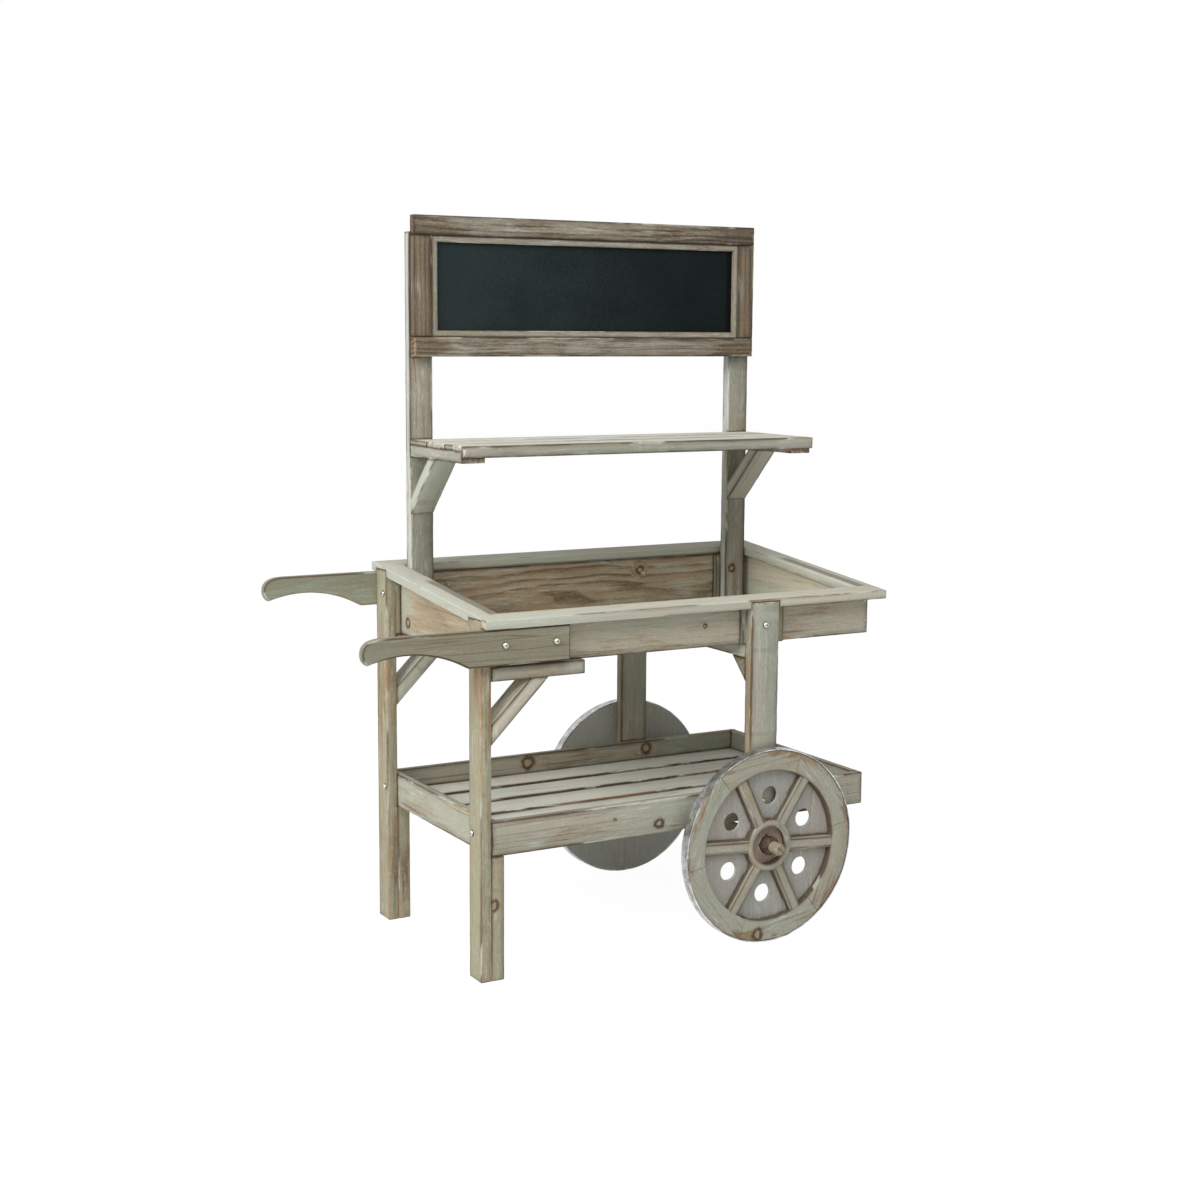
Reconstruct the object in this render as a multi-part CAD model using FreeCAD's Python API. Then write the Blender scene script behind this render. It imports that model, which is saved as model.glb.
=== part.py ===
import FreeCAD, Part
import math
import os

Vector = FreeCAD.Vector

# Whole frame: depth over the left legs, rim length, handle tips beyond the legs
frame_depth = 435.0
rim_length = 825.0
handle_reach = 215.5

# Stock: planed strips, thick strips, thin tray boards, spacers
strip_w = 45.0
strip_t = 20.0
thick_t = 24.0
board_t = 15.0
packer_t = 10.0
ease = 1.2
fit_gap = 0.5

# Rim on the upper tray, rising towards the back; legs stop this far under its top
rim_w = 45.0
rim_t = 16.0
rim_front_top = 622.0
rim_rise = 47.5
rim_ease = 2.0
leg_cover = 5.0

# Upper tray: underside height, rim overhang past the right end, floor boards
tray_z = 540.0
tray_overhang = 19.0
floor_t = 12.0
floor_count = 4
floor_gap = 2.0

# Bearers and struts at the left legs
bearer_reach = 178.0
brace_reach = 109.0

# Right legs, set over the axle, with their spacers and corner blocks
right_leg_w = 58.0
axle_from_end = 269.5
right_leg_foot = 35.0
right_packer_back = 6.0
right_packer_ahead = 24.0
block_side = 44.0

# Handles: thickness, depth, run along the tray, and the shaped grip
handle_t = 18.0
handle_h = 61.0
handle_run = 160.0
grip_heel = 29.0
grip_waist_in = 81.5
grip_waist_h = 31.0
grip_tip_in = 8.5
grip_tip_h = 42.0
grip_nose_h = 22.0
grip_nose_length = 39.5
grip_ease = 3.0
grip_hook = 37.0

# Lower tray
lower_z = 217.0
lower_h = 60.0
lower_end_step = 10.0
lower_slat_count = 5
lower_slat_gap = 13.0

# Posts at the back of the upper tray
post_top = 1266.0
post_end_gap = 14.0
post_packer_t = 12.0
post_packer_lap = 8.0

# Shelf on the posts, a little above the middle of the space under the writing panel
shelf_above_middle = 38.75
shelf_depth = 224.0
shelf_slat_t = 9.5
shelf_slat_count = 3
shelf_slat_gap = 3.0
fascia_t = 9.0
fascia_h = 20.5
arm_h = 20.5
shelf_brace_t = 22.0
shelf_brace_reach = 106.0

# Framed writing panel
panel_side_step = 2.0
panel_h = 250.0
panel_proud = 29.0
panel_frame_w = 35.0
panel_frame_t = 18.5
bead_w = 12.0
bead_t = 6.0
bead_set_back = 3.0
panel_t = 5.0
panel_gap = 0.3

# Wheels: iron hoop, backing disc, raised layer of felloes and spokes, hub ring
wheel_r = 177.5
hoop_t = 2.0
hoop_fit = 0.15
disc_t = 6.0
raised_t = 14.0
felloe_in_r = 137.5
felloe_count = 6
wheel_turn = -4.0
felloe_turn = 12.0
felloe_joint = 0.8
felloe_ease = 2.0
spoke_w = 25.0
spoke_ease = 3.5
hub_in_r = 36.5
hub_out_r = 47.5
hub_ease = 4.0
vent_d = 34.0
vent_r = 90.0

# Axle, running clearance, end play and hub nuts
axle_d = 32.0
axle_fit = 0.15
journal_d = 22.0
running_gap = 0.05
end_play = 0.5
shoulder_out = 8.0
hub_nut_flats = 30.0
hub_nut_t = 22.0
hub_nut_ease = 2.5
axle_tip = 23.0
axle_ease = 3.0

# Bolts with crowned heads, and their nuts
head_r = 5.5
head_h = 3.5
head_crown_r = 3.0
head_edge = 1.2
shank_r = 3.0
shank_gap = 0.25
nut_flats = 10.0
nut_t = 5.0
shank_proud = 2.0
lag_bite = 11.0
bolt_under_handle_top = 27.0
handle_bolt_x = 133.0
leg_bolt_in = 33.0
leg_bolt_under_rim = 36.0
right_bolt_under_rim = 32.0
lower_bolt_z = 254.0

# Positions that follow from the sizes; the left legs' outer face starts the length
left_x = (handle_reach - rim_length) / 2
right_x = left_x + rim_length
half_depth = frame_depth / 2
rim_half = half_depth + strip_t
leg_in_x = left_x + strip_t
board_x = leg_in_x + packer_t
tray_in_x = board_x + board_t
board_end_x = right_x - tray_overhang
tray_end_x = board_end_x - board_t
board_in = packer_t + board_t
floor_top = tray_z + floor_t
bearer_z = tray_z - thick_t
axle_x = right_x - axle_from_end
axle_z = wheel_r
leg_lap_x = axle_x - right_leg_w / 2
leg_lap_end_x = axle_x + right_leg_w / 2
panel_top = post_top + panel_proud
high = panel_top
shelf_top = (panel_top - panel_h + rim_front_top + rim_rise) / 2 + shelf_above_middle

nodes = {}
drills = []
bolts = []
nuts = []


def rim_top(y):
    """Height of the rim's upper face at a given depth."""
    return rim_front_top + rim_rise * (y + rim_half) / (2 * rim_half)


def rim_under(y):
    """Height of the rim's lower face at a given depth."""
    return rim_top(y) - rim_t


def across(side, near, far):
    """Depth range of a piece, measured inwards from the legs' outer face on one side."""
    a = side * (half_depth - near)
    b = side * (half_depth - far)
    return min(a, b), max(a, b)


def box(x0, x1, y0, y1, z0, z1):
    """Plain block between two corners."""
    return Part.makeBox(x1 - x0, y1 - y0, z1 - z0, Vector(x0, y0, z0))


def prism(points, run):
    """Closed outline pushed along a vector."""
    wire = Part.makePolygon(points + [points[0]])
    return Part.Face(wire).extrude(run)


def eased(shape, size=ease):
    """Sawn piece with its arrises taken off."""
    return shape.makeChamfer(size, shape.Edges)


def sloped(under, over):
    """Block as long as the cart between two heights that follow the depth."""
    start = left_x - handle_reach
    y = rim_half
    outline = [Vector(start, -y, under(-y)), Vector(start, y, under(y))]
    outline += [Vector(start, y, over(y)), Vector(start, -y, over(-y))]
    return prism(outline, Vector(handle_reach + rim_length, 0, 0))


def under_rim(shape):
    """Piece cut to the slope of the rim above it."""
    return shape.common(sloped(lambda y: 0.0, rim_under))


def strut(corner, along, run, reach, thickness):
    """45 degree strut across the corner under a bearer, as wide as the run vector."""
    down = Vector(0, 0, -1)
    cut = thickness * math.sqrt(2)
    foot = corner + down * reach
    head = corner + along * reach
    return eased(prism([foot, head, head - along * cut, foot - down * cut], run))


def bolt(point, direction, grip, with_nut):
    """Bolt with a crowned head from a face inwards, the hole it needs, and its nut."""
    length = grip + nut_t + shank_proud if with_nut else grip
    outline = [Vector(0, 0, -head_h), Vector(head_crown_r, 0, -head_h), Vector(head_r, 0, -head_edge)]
    outline += [Vector(head_r, 0, 0), Vector(shank_r, 0, 0), Vector(shank_r, 0, length)]
    outline += [Vector(0, 0, length)]
    face = Part.Face(Part.makePolygon(outline + [outline[0]]))
    turn = FreeCAD.Rotation(Vector(0, 0, 1), direction)
    place = FreeCAD.Placement(point, turn)
    solid = face.revolve(Vector(0, 0, 0), Vector(0, 0, 1), 360)
    solid.Placement = place
    bolts.append(solid)
    drill = Part.makeCylinder(shank_r + shank_gap, length)
    drill.Placement = place
    drills.append(drill)
    if with_nut:
        nut = hexagon(nut_flats, nut_t)
        nut = nut.cut(Part.makeCylinder(shank_r + shank_gap, nut_t))
        nut.Placement = FreeCAD.Placement(point + direction * grip, turn)
        nuts.append(nut)


def hexagon(flats, height):
    """Six-sided block standing on its end."""
    corner_r = flats / math.sqrt(3)
    corners = []
    for i in range(6):
        angle = math.radians(60 * i)
        corners.append(Vector(corner_r * math.cos(angle), corner_r * math.sin(angle), 0))
    return prism(corners, Vector(0, 0, height))


def left_leg(side, name):
    """Left leg with its doubler, bearer and strut."""
    y0, y1 = across(side, 0, strip_w)
    top = rim_top(y0) - leg_cover
    nodes[name + "_left_leg"] = eased(box(left_x, leg_in_x, y0, y1, 0, top))
    nodes[name + "_left_leg_doubler"] = eased(box(leg_in_x, leg_in_x + thick_t, y0, y1, 0, lower_z))
    end_x = leg_in_x + bearer_reach
    nodes[name + "_left_bearer"] = eased(box(leg_in_x, end_x, y0, y1, bearer_z, tray_z))
    corner = Vector(leg_in_x, y0, bearer_z)
    brace = strut(corner, Vector(1, 0, 0), Vector(0, strip_w, 0), brace_reach, thick_t)
    nodes[name + "_left_brace"] = brace
    y_bolt = side * (half_depth - leg_bolt_in)
    z_bolt = rim_under(side * half_depth) - leg_bolt_under_rim
    inward = Vector(1, 0, 0)
    bolt(Vector(left_x, y_bolt, z_bolt), inward, strip_t + packer_t + lag_bite, False)
    bolt(Vector(left_x, y_bolt, lower_bolt_z), inward, strip_t + board_t, True)
    return box(leg_in_x, board_x, y0, y1, tray_z, high)


def right_leg(side, name):
    """Right leg drilled for the axle, with its bolts."""
    y0, y1 = across(side, -strip_t, 0)
    foot = axle_z - right_leg_foot
    leg = eased(box(leg_lap_x, leg_lap_end_x, y0, y1, foot, rim_top(y0) - leg_cover))
    nodes[name + "_right_leg"] = leg.cut(bar_between(axle_d / 2 + axle_fit, rim_half))
    face = Vector(axle_x, side * rim_half, 0)
    inward = Vector(0, -side, 0)
    z_bolt = rim_under(side * half_depth) - right_bolt_under_rim
    bolt(face + Vector(0, 0, z_bolt), inward, strip_t + board_in, True)
    bolt(face + Vector(0, 0, lower_bolt_z), inward, strip_t + board_t, True)
    p0, p1 = across(side, 0, packer_t)
    return box(leg_lap_x - right_packer_back, leg_lap_end_x + right_packer_ahead, p0, p1, tray_z, high)


def corner_block(side):
    """Triangular block in the corner of a right leg and the cross bearer."""
    corner = Vector(leg_lap_x, side * half_depth, bearer_z)
    inner = corner - Vector(0, side * block_side, 0)
    outline = [corner, inner, corner - Vector(0, 0, block_side)]
    return eased(prism(outline, Vector(right_leg_w, 0, 0)))


def side_edges(shape, *levels):
    """Edges that lie in the faces of a piece at the given depths."""
    edges = []
    for edge in shape.Edges:
        span = edge.BoundBox
        edges += [edge for y in levels if abs(span.YMin - y) + abs(span.YMax - y) < fit_gap]
    return edges


def handle(side, name):
    """Handle with a shaped grip, and its spacer and bolts."""
    y0, y1 = across(side, -handle_t, 0)
    top = rim_under(y0 if side > 0 else -rim_half)
    end = Vector(left_x + handle_run, y0, top)
    nose_x = left_x - handle_reach
    nose_start = Vector(nose_x + grip_nose_length, y0, top)
    nose = Vector(nose_x, y0, top - grip_nose_h)
    tip = Vector(nose_x + grip_tip_in, y0, top - grip_tip_h)
    waist = Vector(nose_x + grip_waist_in, y0, top - grip_waist_h)
    heel = Vector(left_x - grip_heel, y0, top - handle_h)
    foot = Vector(end.x, y0, top - handle_h)
    front = Part.BSplineCurve()
    hook = math.radians(grip_hook)
    hooked = Vector(math.cos(hook), 0, -math.sin(hook))
    front.interpolate(Points=[nose_start, nose, tip], InitialTangent=Vector(-1, 0, 0), FinalTangent=hooked)
    belly = Part.BSplineCurve()
    belly.interpolate(Points=[tip, waist, heel])
    edges = [Part.makeLine(end, nose_start), front.toShape(), belly.toShape()]
    edges += [Part.makeLine(heel, foot), Part.makeLine(foot, end)]
    blank = Part.Face(Part.Wire(edges)).extrude(Vector(0, handle_t, 0))
    nodes[name + "_handle"] = blank.makeChamfer(grip_ease, side_edges(blank, y0, y1))
    face_y = side * (half_depth + handle_t)
    inward = Vector(0, -side, 0)
    z_bolt = top - bolt_under_handle_top
    grip = handle_t + board_in
    bolt(Vector(board_x + board_t / 2, face_y, z_bolt), inward, grip + lag_bite, False)
    bolt(Vector(left_x + handle_bolt_x, face_y, z_bolt), inward, grip, True)
    p0, p1 = across(side, 0, packer_t)
    return eased(under_rim(box(board_x, end.x, p0, p1, top - handle_h, high)))


def upper_tray():
    """Boards and floor of the upper tray."""
    for side, name in ((-1, "tray_front_board"), (1, "tray_back_board")):
        y0, y1 = across(side, packer_t, board_in)
        nodes[name] = eased(under_rim(box(board_x, board_end_x, y0, y1, tray_z, high)))
    inner = half_depth - board_in
    nodes["tray_left_end"] = eased(under_rim(box(board_x, tray_in_x, -inner, inner, tray_z, high)))
    nodes["tray_right_end"] = eased(under_rim(box(tray_end_x, board_end_x, -inner, inner, tray_z, high)))
    width = (2 * inner - floor_gap * (floor_count - 1)) / floor_count
    floor = []
    for i in range(floor_count):
        y = -inner + i * (width + floor_gap)
        floor.append(eased(box(tray_in_x, tray_end_x, y, y + width, tray_z, floor_top)))
    nodes["tray_floor_boards"] = Part.makeCompound(floor)


def notch(x0, x1, depth):
    """Room for a leg's top in the underside of the rim."""
    y0, y1 = depth
    top = rim_top(y0) - leg_cover + fit_gap
    return box(x0 - fit_gap, x1 + fit_gap, y0 - fit_gap, y1 + fit_gap, 0, top)


def rim():
    """Four mitred rim boards, notched from below for the legs' tops."""
    slab = sloped(rim_under, rim_top)
    outer = []
    inner = []
    for sx, sy in ((0, -1), (1, -1), (1, 1), (0, 1)):
        outer.append(Vector(left_x + sx * rim_length, sy * rim_half, 0))
        inner.append(outer[-1] + Vector(rim_w * (1 - 2 * sx), -sy * rim_w, 0))
    notches = []
    for side in (-1, 1):
        notches.append(notch(left_x, leg_in_x, across(side, 0, strip_w)))
        notches.append(notch(leg_lap_x, leg_lap_end_x, across(side, -strip_t, 0)))
    for i, name in enumerate(("rim_front", "rim_right", "rim_back", "rim_left")):
        k = (i + 1) % 4
        board = prism([outer[i], outer[k], inner[k], inner[i]], Vector(0, 0, high)).common(slab)
        board = board.makeChamfer(rim_ease, [e for e in board.Edges if not is_mitre(e)])
        nodes[name] = board.cut(Part.makeCompound(notches))


def is_mitre(edge):
    """True for an edge of a corner joint, which stays sharp."""
    step = edge.Vertexes[-1].Point - edge.Vertexes[0].Point
    return abs(step.x) > fit_gap and abs(step.y) > fit_gap or abs(step.x) + abs(step.y) < fit_gap


def lower_tray():
    """Boards and slats of the lower tray."""
    end_x = board_end_x - lower_end_step
    top = lower_z + lower_h
    for side, name in ((-1, "lower_front_board"), (1, "lower_back_board")):
        y0, y1 = across(side, 0, board_t)
        nodes[name] = eased(box(leg_in_x, end_x, y0, y1, lower_z, top))
    inner = half_depth - board_t
    nodes["lower_left_end"] = eased(box(leg_in_x, leg_in_x + board_t, -inner, inner, lower_z, top))
    nodes["lower_right_end"] = eased(box(end_x - board_t, end_x, -inner, inner, lower_z, top))
    width = (2 * inner - lower_slat_gap * (lower_slat_count - 1)) / lower_slat_count
    slat_x = leg_in_x + board_t
    slat_end_x = end_x - board_t
    slats = []
    for i in range(lower_slat_count):
        y = -inner + i * (width + lower_slat_gap)
        slats.append(eased(box(slat_x, slat_end_x, y, y + width, lower_z, lower_z + thick_t)))
    nodes["lower_slats"] = Part.makeCompound(slats)


def back_frame():
    """Posts, shelf and framed writing panel."""
    packer_y0, packer_y1 = across(1, board_in, board_in + post_packer_t)
    post_y0 = packer_y0 - strip_t
    shelf_y = post_y0 - shelf_depth
    slat_y = shelf_y + fascia_t
    arm_top = shelf_top - shelf_slat_t
    end_x = tray_end_x - post_end_gap
    packers = []
    for name, x in (("left", tray_in_x), ("right", end_x - strip_w)):
        nodes[name + "_post"] = eased(box(x, x + strip_w, post_y0, packer_y0, floor_top, post_top))
        lap_x = max(x - post_packer_lap, tray_in_x)
        lap_end_x = min(x + strip_w + post_packer_lap, tray_end_x)
        packers.append(eased(under_rim(box(lap_x, lap_end_x, packer_y0, packer_y1, floor_top, high))))
        arm_z = arm_top - arm_h
        nodes[name + "_shelf_arm"] = eased(box(x, x + strip_w, slat_y, post_y0, arm_z, arm_top))
        corner = Vector(x, post_y0, arm_z)
        brace = strut(corner, Vector(0, -1, 0), Vector(strip_w, 0, 0), shelf_brace_reach, shelf_brace_t)
        nodes[name + "_shelf_brace"] = brace
    nodes["post_packers"] = Part.makeCompound(packers)
    width = (post_y0 - slat_y - shelf_slat_gap * (shelf_slat_count - 1)) / shelf_slat_count
    slats = []
    for i in range(shelf_slat_count):
        y = slat_y + i * (width + shelf_slat_gap)
        slats.append(eased(box(tray_in_x, end_x, y, y + width, arm_top, shelf_top)))
    nodes["shelf_slats"] = Part.makeCompound(slats)
    nodes["shelf_fascia"] = eased(box(tray_in_x, end_x, shelf_y, slat_y, shelf_top - fascia_h, shelf_top))
    writing_panel(tray_in_x + panel_side_step, end_x - panel_side_step, post_y0 - panel_frame_t)


def writing_panel(x0, x1, y0):
    """Frame, bead and dark panel in front of the posts."""
    z1 = panel_top
    z0 = z1 - panel_h
    y1 = y0 + panel_frame_t
    w = panel_frame_w
    nodes["board_top_rail"] = eased(box(x0, x1, y0, y1, z1 - w, z1))
    nodes["board_bottom_rail"] = eased(box(x0, x1, y0, y1, z0, z0 + w))
    nodes["board_left_stile"] = eased(box(x0, x0 + w, y0, y1, z0 + w, z1 - w))
    nodes["board_right_stile"] = eased(box(x1 - w, x1, y0, y1, z0 + w, z1 - w))
    bead_y = y0 + bead_set_back
    panel_y = bead_y + bead_t
    in_x0 = x0 + w
    in_x1 = x1 - w
    in_z0 = z0 + w
    in_z1 = z1 - w
    bead = [box(in_x0, in_x1, bead_y, panel_y, in_z0, in_z0 + bead_w)]
    bead.append(box(in_x0, in_x1, bead_y, panel_y, in_z1 - bead_w, in_z1))
    bead.append(box(in_x0, in_x0 + bead_w, bead_y, panel_y, in_z0 + bead_w, in_z1 - bead_w))
    bead.append(box(in_x1 - bead_w, in_x1, bead_y, panel_y, in_z0 + bead_w, in_z1 - bead_w))
    nodes["board_bead"] = Part.makeCompound([eased(b) for b in bead])
    g = panel_gap
    nodes["chalk_panel"] = box(in_x0 + g, in_x1 - g, panel_y, panel_y + panel_t, in_z0 + g, in_z1 - g)


def sector(r0, r1, start, stop, height):
    """Piece of a ring between two angles."""
    def at(r, degrees):
        angle = math.radians(degrees)
        return Vector(r * math.cos(angle), r * math.sin(angle), 0)
    middle = (start + stop) / 2
    outside = Part.Arc(at(r1, start), at(r1, middle), at(r1, stop)).toShape()
    inside = Part.Arc(at(r0, stop), at(r0, middle), at(r0, start)).toShape()
    ends = [Part.makeLine(at(r1, stop), at(r0, stop)), Part.makeLine(at(r0, start), at(r1, start))]
    wire = Part.Wire([outside, ends[0], inside, ends[1]])
    return Part.Face(wire).extrude(Vector(0, 0, height))


def top_edges(shape, z):
    """Edges that lie in the outer face of a wheel piece."""
    return [e for e in shape.Edges if abs(e.BoundBox.ZMin - z) + abs(e.BoundBox.ZMax - z) < fit_gap]


def wheel(side, name):
    """Built-up wheel: hoop round a backing disc, with felloes, spokes and hub ring laid on it."""
    wood_r = wheel_r - hoop_t - hoop_fit
    wheel_t = disc_t + raised_t
    bore = Part.makeCylinder(journal_d / 2 + running_gap, wheel_t)
    disc = Part.makeCylinder(wood_r, disc_t).cut(bore)
    step = 360.0 / felloe_count
    joint = math.degrees(felloe_joint / wood_r) / 2
    felloes = []
    spokes = []
    span = Part.makeCylinder(felloe_in_r, wheel_t).cut(Part.makeCylinder(hub_out_r, wheel_t))
    half = spoke_w / 2
    outline = [Vector(0, -half, disc_t), Vector(0, half, disc_t), Vector(0, half, wheel_t - spoke_ease)]
    outline += [Vector(0, half - spoke_ease, wheel_t), Vector(0, spoke_ease - half, wheel_t)]
    outline += [Vector(0, -half, wheel_t - spoke_ease)]
    spoke = prism(outline, Vector(wheel_r, 0, 0)).common(span)
    for i in range(felloe_count):
        turn = step * i + wheel_turn
        vent = Part.makeCylinder(vent_d / 2, wheel_t)
        vent.translate(Vector(vent_r, 0, 0))
        vent.rotate(Vector(0, 0, 0), Vector(0, 0, 1), turn + step / 2)
        disc = disc.cut(vent)
        start = turn + felloe_turn
        felloe = sector(felloe_in_r, wood_r, start + joint, start + step - joint, raised_t)
        felloe.translate(Vector(0, 0, disc_t))
        felloes.append(felloe.makeChamfer(felloe_ease, top_edges(felloe, wheel_t)))
        arm = spoke.copy()
        arm.rotate(Vector(0, 0, 0), Vector(0, 0, 1), turn)
        spokes.append(arm)
    ring = Part.makeCylinder(hub_out_r, raised_t).cut(Part.makeCylinder(hub_in_r, raised_t))
    ring.translate(Vector(0, 0, disc_t))
    ring = ring.makeChamfer(hub_ease, top_edges(ring, wheel_t))
    hoop = Part.makeCylinder(wheel_r, wheel_t).cut(Part.makeCylinder(wheel_r - hoop_t, wheel_t))
    layers = {"disc": disc, "felloes": Part.makeCompound(felloes), "spokes": Part.makeCompound(spokes)}
    layers["hub_ring"] = ring
    layers["hoop"] = hoop
    for layer, shape in layers.items():
        nodes[name + "_wheel_" + layer] = outward(shape, side, shoulder_out + end_play)
    nut = hexagon(hub_nut_flats, hub_nut_t)
    nut = nut.makeChamfer(hub_nut_ease, top_edges(nut, hub_nut_t))
    nut = nut.cut(Part.makeCylinder(journal_d / 2, hub_nut_t))
    nodes[name + "_hub_nut"] = outward(nut, side, shoulder_out + disc_t + 2 * end_play)


def outward(shape, side, distance):
    """Stand a wheel piece on the axle, facing away from the leg."""
    shape = shape.copy()
    shape.rotate(Vector(0, 0, 0), Vector(1, 0, 0), -90 * side)
    shape.translate(Vector(axle_x, side * (rim_half + distance), axle_z))
    return shape


def bar_between(radius, half_length):
    """Round bar on the axle's line."""
    start = Vector(axle_x, -half_length, axle_z)
    return Part.makeCylinder(radius, 2 * half_length, start, Vector(0, 1, 0))


def axle():
    """Turned bar with shoulders behind the wheels and rounded ends."""
    shoulder = rim_half + shoulder_out
    end = shoulder + disc_t + 2 * end_play + hub_nut_t + axle_tip
    bar = bar_between(journal_d / 2, end)
    bar = bar.makeChamfer(axle_ease, [e for e in bar.Edges if e.Closed])
    nodes["axle"] = bar.fuse(bar_between(axle_d / 2, shoulder))


leg_packers = []
handle_packers = []
blocks = []
for side, name in ((-1, "front"), (1, "back")):
    leg_packers.append(eased(under_rim(left_leg(side, name))))
    leg_packers.append(eased(under_rim(right_leg(side, name))))
    handle_packers.append(handle(side, name))
    blocks.append(corner_block(side))
    wheel(side, name)
nodes["leg_packers"] = Part.makeCompound(leg_packers)
nodes["handle_packers"] = Part.makeCompound(handle_packers)
nodes["corner_blocks"] = Part.makeCompound(blocks)
nodes["cross_bearer"] = eased(box(leg_lap_x, leg_lap_end_x, -half_depth, half_depth, bearer_z, tray_z))
upper_tray()
rim()
lower_tray()
back_frame()
axle()

# Every member on a bolt's path gets the bolt's clearance hole
for name, shape in nodes.items():
    for drill in drills:
        if shape.BoundBox.intersect(drill.BoundBox):
            shape = shape.cut(drill)
    nodes[name] = shape
nodes["carriage_bolts"] = Part.makeCompound(bolts)
nodes["bolt_nuts"] = Part.makeCompound(nuts)

os.makedirs("parts", exist_ok=True)
for name, shape in nodes.items():
    shape.exportStep("parts/" + name + ".step")
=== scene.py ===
import logging
import math
import random
from contextlib import contextmanager
from dataclasses import dataclass, replace
from enum import Enum
from functools import lru_cache
from typing import Any, Callable, Iterable, Iterator, Sequence

import bpy
from mathutils import Matrix, Vector


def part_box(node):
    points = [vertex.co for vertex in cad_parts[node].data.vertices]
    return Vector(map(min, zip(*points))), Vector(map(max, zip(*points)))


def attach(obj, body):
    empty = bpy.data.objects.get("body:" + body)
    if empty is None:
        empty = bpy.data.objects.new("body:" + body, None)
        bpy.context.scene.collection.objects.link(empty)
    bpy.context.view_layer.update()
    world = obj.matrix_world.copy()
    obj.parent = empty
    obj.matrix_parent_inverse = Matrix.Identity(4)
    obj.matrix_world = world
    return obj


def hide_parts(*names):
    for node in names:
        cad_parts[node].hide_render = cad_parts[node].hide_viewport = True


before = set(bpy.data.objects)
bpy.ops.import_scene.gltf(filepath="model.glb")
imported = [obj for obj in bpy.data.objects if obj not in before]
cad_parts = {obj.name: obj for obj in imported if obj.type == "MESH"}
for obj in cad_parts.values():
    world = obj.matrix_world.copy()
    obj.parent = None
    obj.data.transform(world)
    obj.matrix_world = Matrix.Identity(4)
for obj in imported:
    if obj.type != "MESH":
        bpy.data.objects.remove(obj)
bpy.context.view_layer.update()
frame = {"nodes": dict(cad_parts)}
LOG = logging.getLogger("garden_cart")

Colour = tuple[float, float, float]
Socket = bpy.types.NodeSocket
Piece = bpy.types.Object
Finish = bpy.types.Material
MM = 0.001
CART = "cart"
WOOD_SLOT = "weathered_wood"
RIM_THICKNESS = 16 * MM
LOG_PITCH = 220 * MM
FULL_TURN = 2 * math.pi
WHITE = (1.0, 1.0, 1.0, 1.0)
X_AXIS = Vector((1, 0, 0))
Y_AXIS = Vector((0, 1, 0))
Z_AXIS = Vector((0, 0, 1))


class Side(Enum):
    """The two long sides of the cart, with the sign of their depth."""

    FRONT = -1
    BACK = 1

    @property
    def word(self) -> str:
        """Name used in the frame's nodes."""
        return self.name.lower()


class Value:
    """A number that changes over a surface: a node's socket with Python's operators."""

    def __init__(self, kit: "Kit", socket: Socket) -> None:
        """Args:
            kit: the material being built.
            socket: an output socket.
        """
        self.kit = kit
        self.socket = socket

    def _math(self, operation: str, *others: "float | Value", flip: bool = False) -> "Value":
        """Add one Math node.

        Args:
            operation: the node's operation.
            others: the other operands.
            flip: whether this value comes last.

        Returns:
            The node's result.
        """
        terms = [self, *others]
        if flip:
            terms.reverse()
        node = self.kit.node("ShaderNodeMath", {"operation": operation}, dict(enumerate(terms)))
        return Value(self.kit, node.outputs[0])

    def __add__(self, other: "float | Value") -> "Value":
        """Sum."""
        return self._math("ADD", other)

    __radd__ = __add__

    def __mul__(self, other: "float | Value") -> "Value":
        """Product."""
        return self._math("MULTIPLY", other)

    __rmul__ = __mul__

    def __sub__(self, other: "float | Value") -> "Value":
        """Difference."""
        return self._math("SUBTRACT", other)

    def __rsub__(self, other: "float | Value") -> "Value":
        """Difference with this value last."""
        return self._math("SUBTRACT", other, flip=True)

    def __truediv__(self, other: "float | Value") -> "Value":
        """Quotient."""
        return self._math("DIVIDE", other)

    def __abs__(self) -> "Value":
        """Size without sign."""
        return self._math("ABSOLUTE")

    def least(self, other: "float | Value") -> "Value":
        """The smaller of two values."""
        return self._math("MINIMUM", other)

    def most(self, other: "float | Value") -> "Value":
        """The larger of two values."""
        return self._math("MAXIMUM", other)

    def fraction(self) -> "Value":
        """What is left above the whole number."""
        return self._math("FRACT")

    def whole(self) -> "Value":
        """Whole number below."""
        return self._math("FLOOR")

    def root(self) -> "Value":
        """Square root."""
        return self._math("SQRT")

    def sine(self) -> "Value":
        """Sine of an angle in radians."""
        return self._math("SINE")

    def cosine(self) -> "Value":
        """Cosine of an angle in radians."""
        return self._math("COSINE")

    def angle_to(self, across: "Value") -> "Value":
        """Angle of the point (across, self), in radians."""
        return self._math("ARCTAN2", across)

    def ease(self, low: float, high: float) -> "Value":
        """Smooth step.

        Args:
            low: where the result is 0.
            high: where the result is 1.

        Returns:
            A value from 0 to 1.
        """
        settings = {"interpolation_type": "SMOOTHSTEP"}
        sockets = {"Value": self, "From Min": low, "From Max": high}
        return Value(self.kit, self.kit.node("ShaderNodeMapRange", settings, sockets).outputs[0])


@dataclass(frozen=True)
class Pattern:
    """A cloudy pattern: how often it changes per metre along and across the fibres, and its finer layers."""

    along: float
    across: float
    detail: float
    rough: float = 0.55


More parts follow.
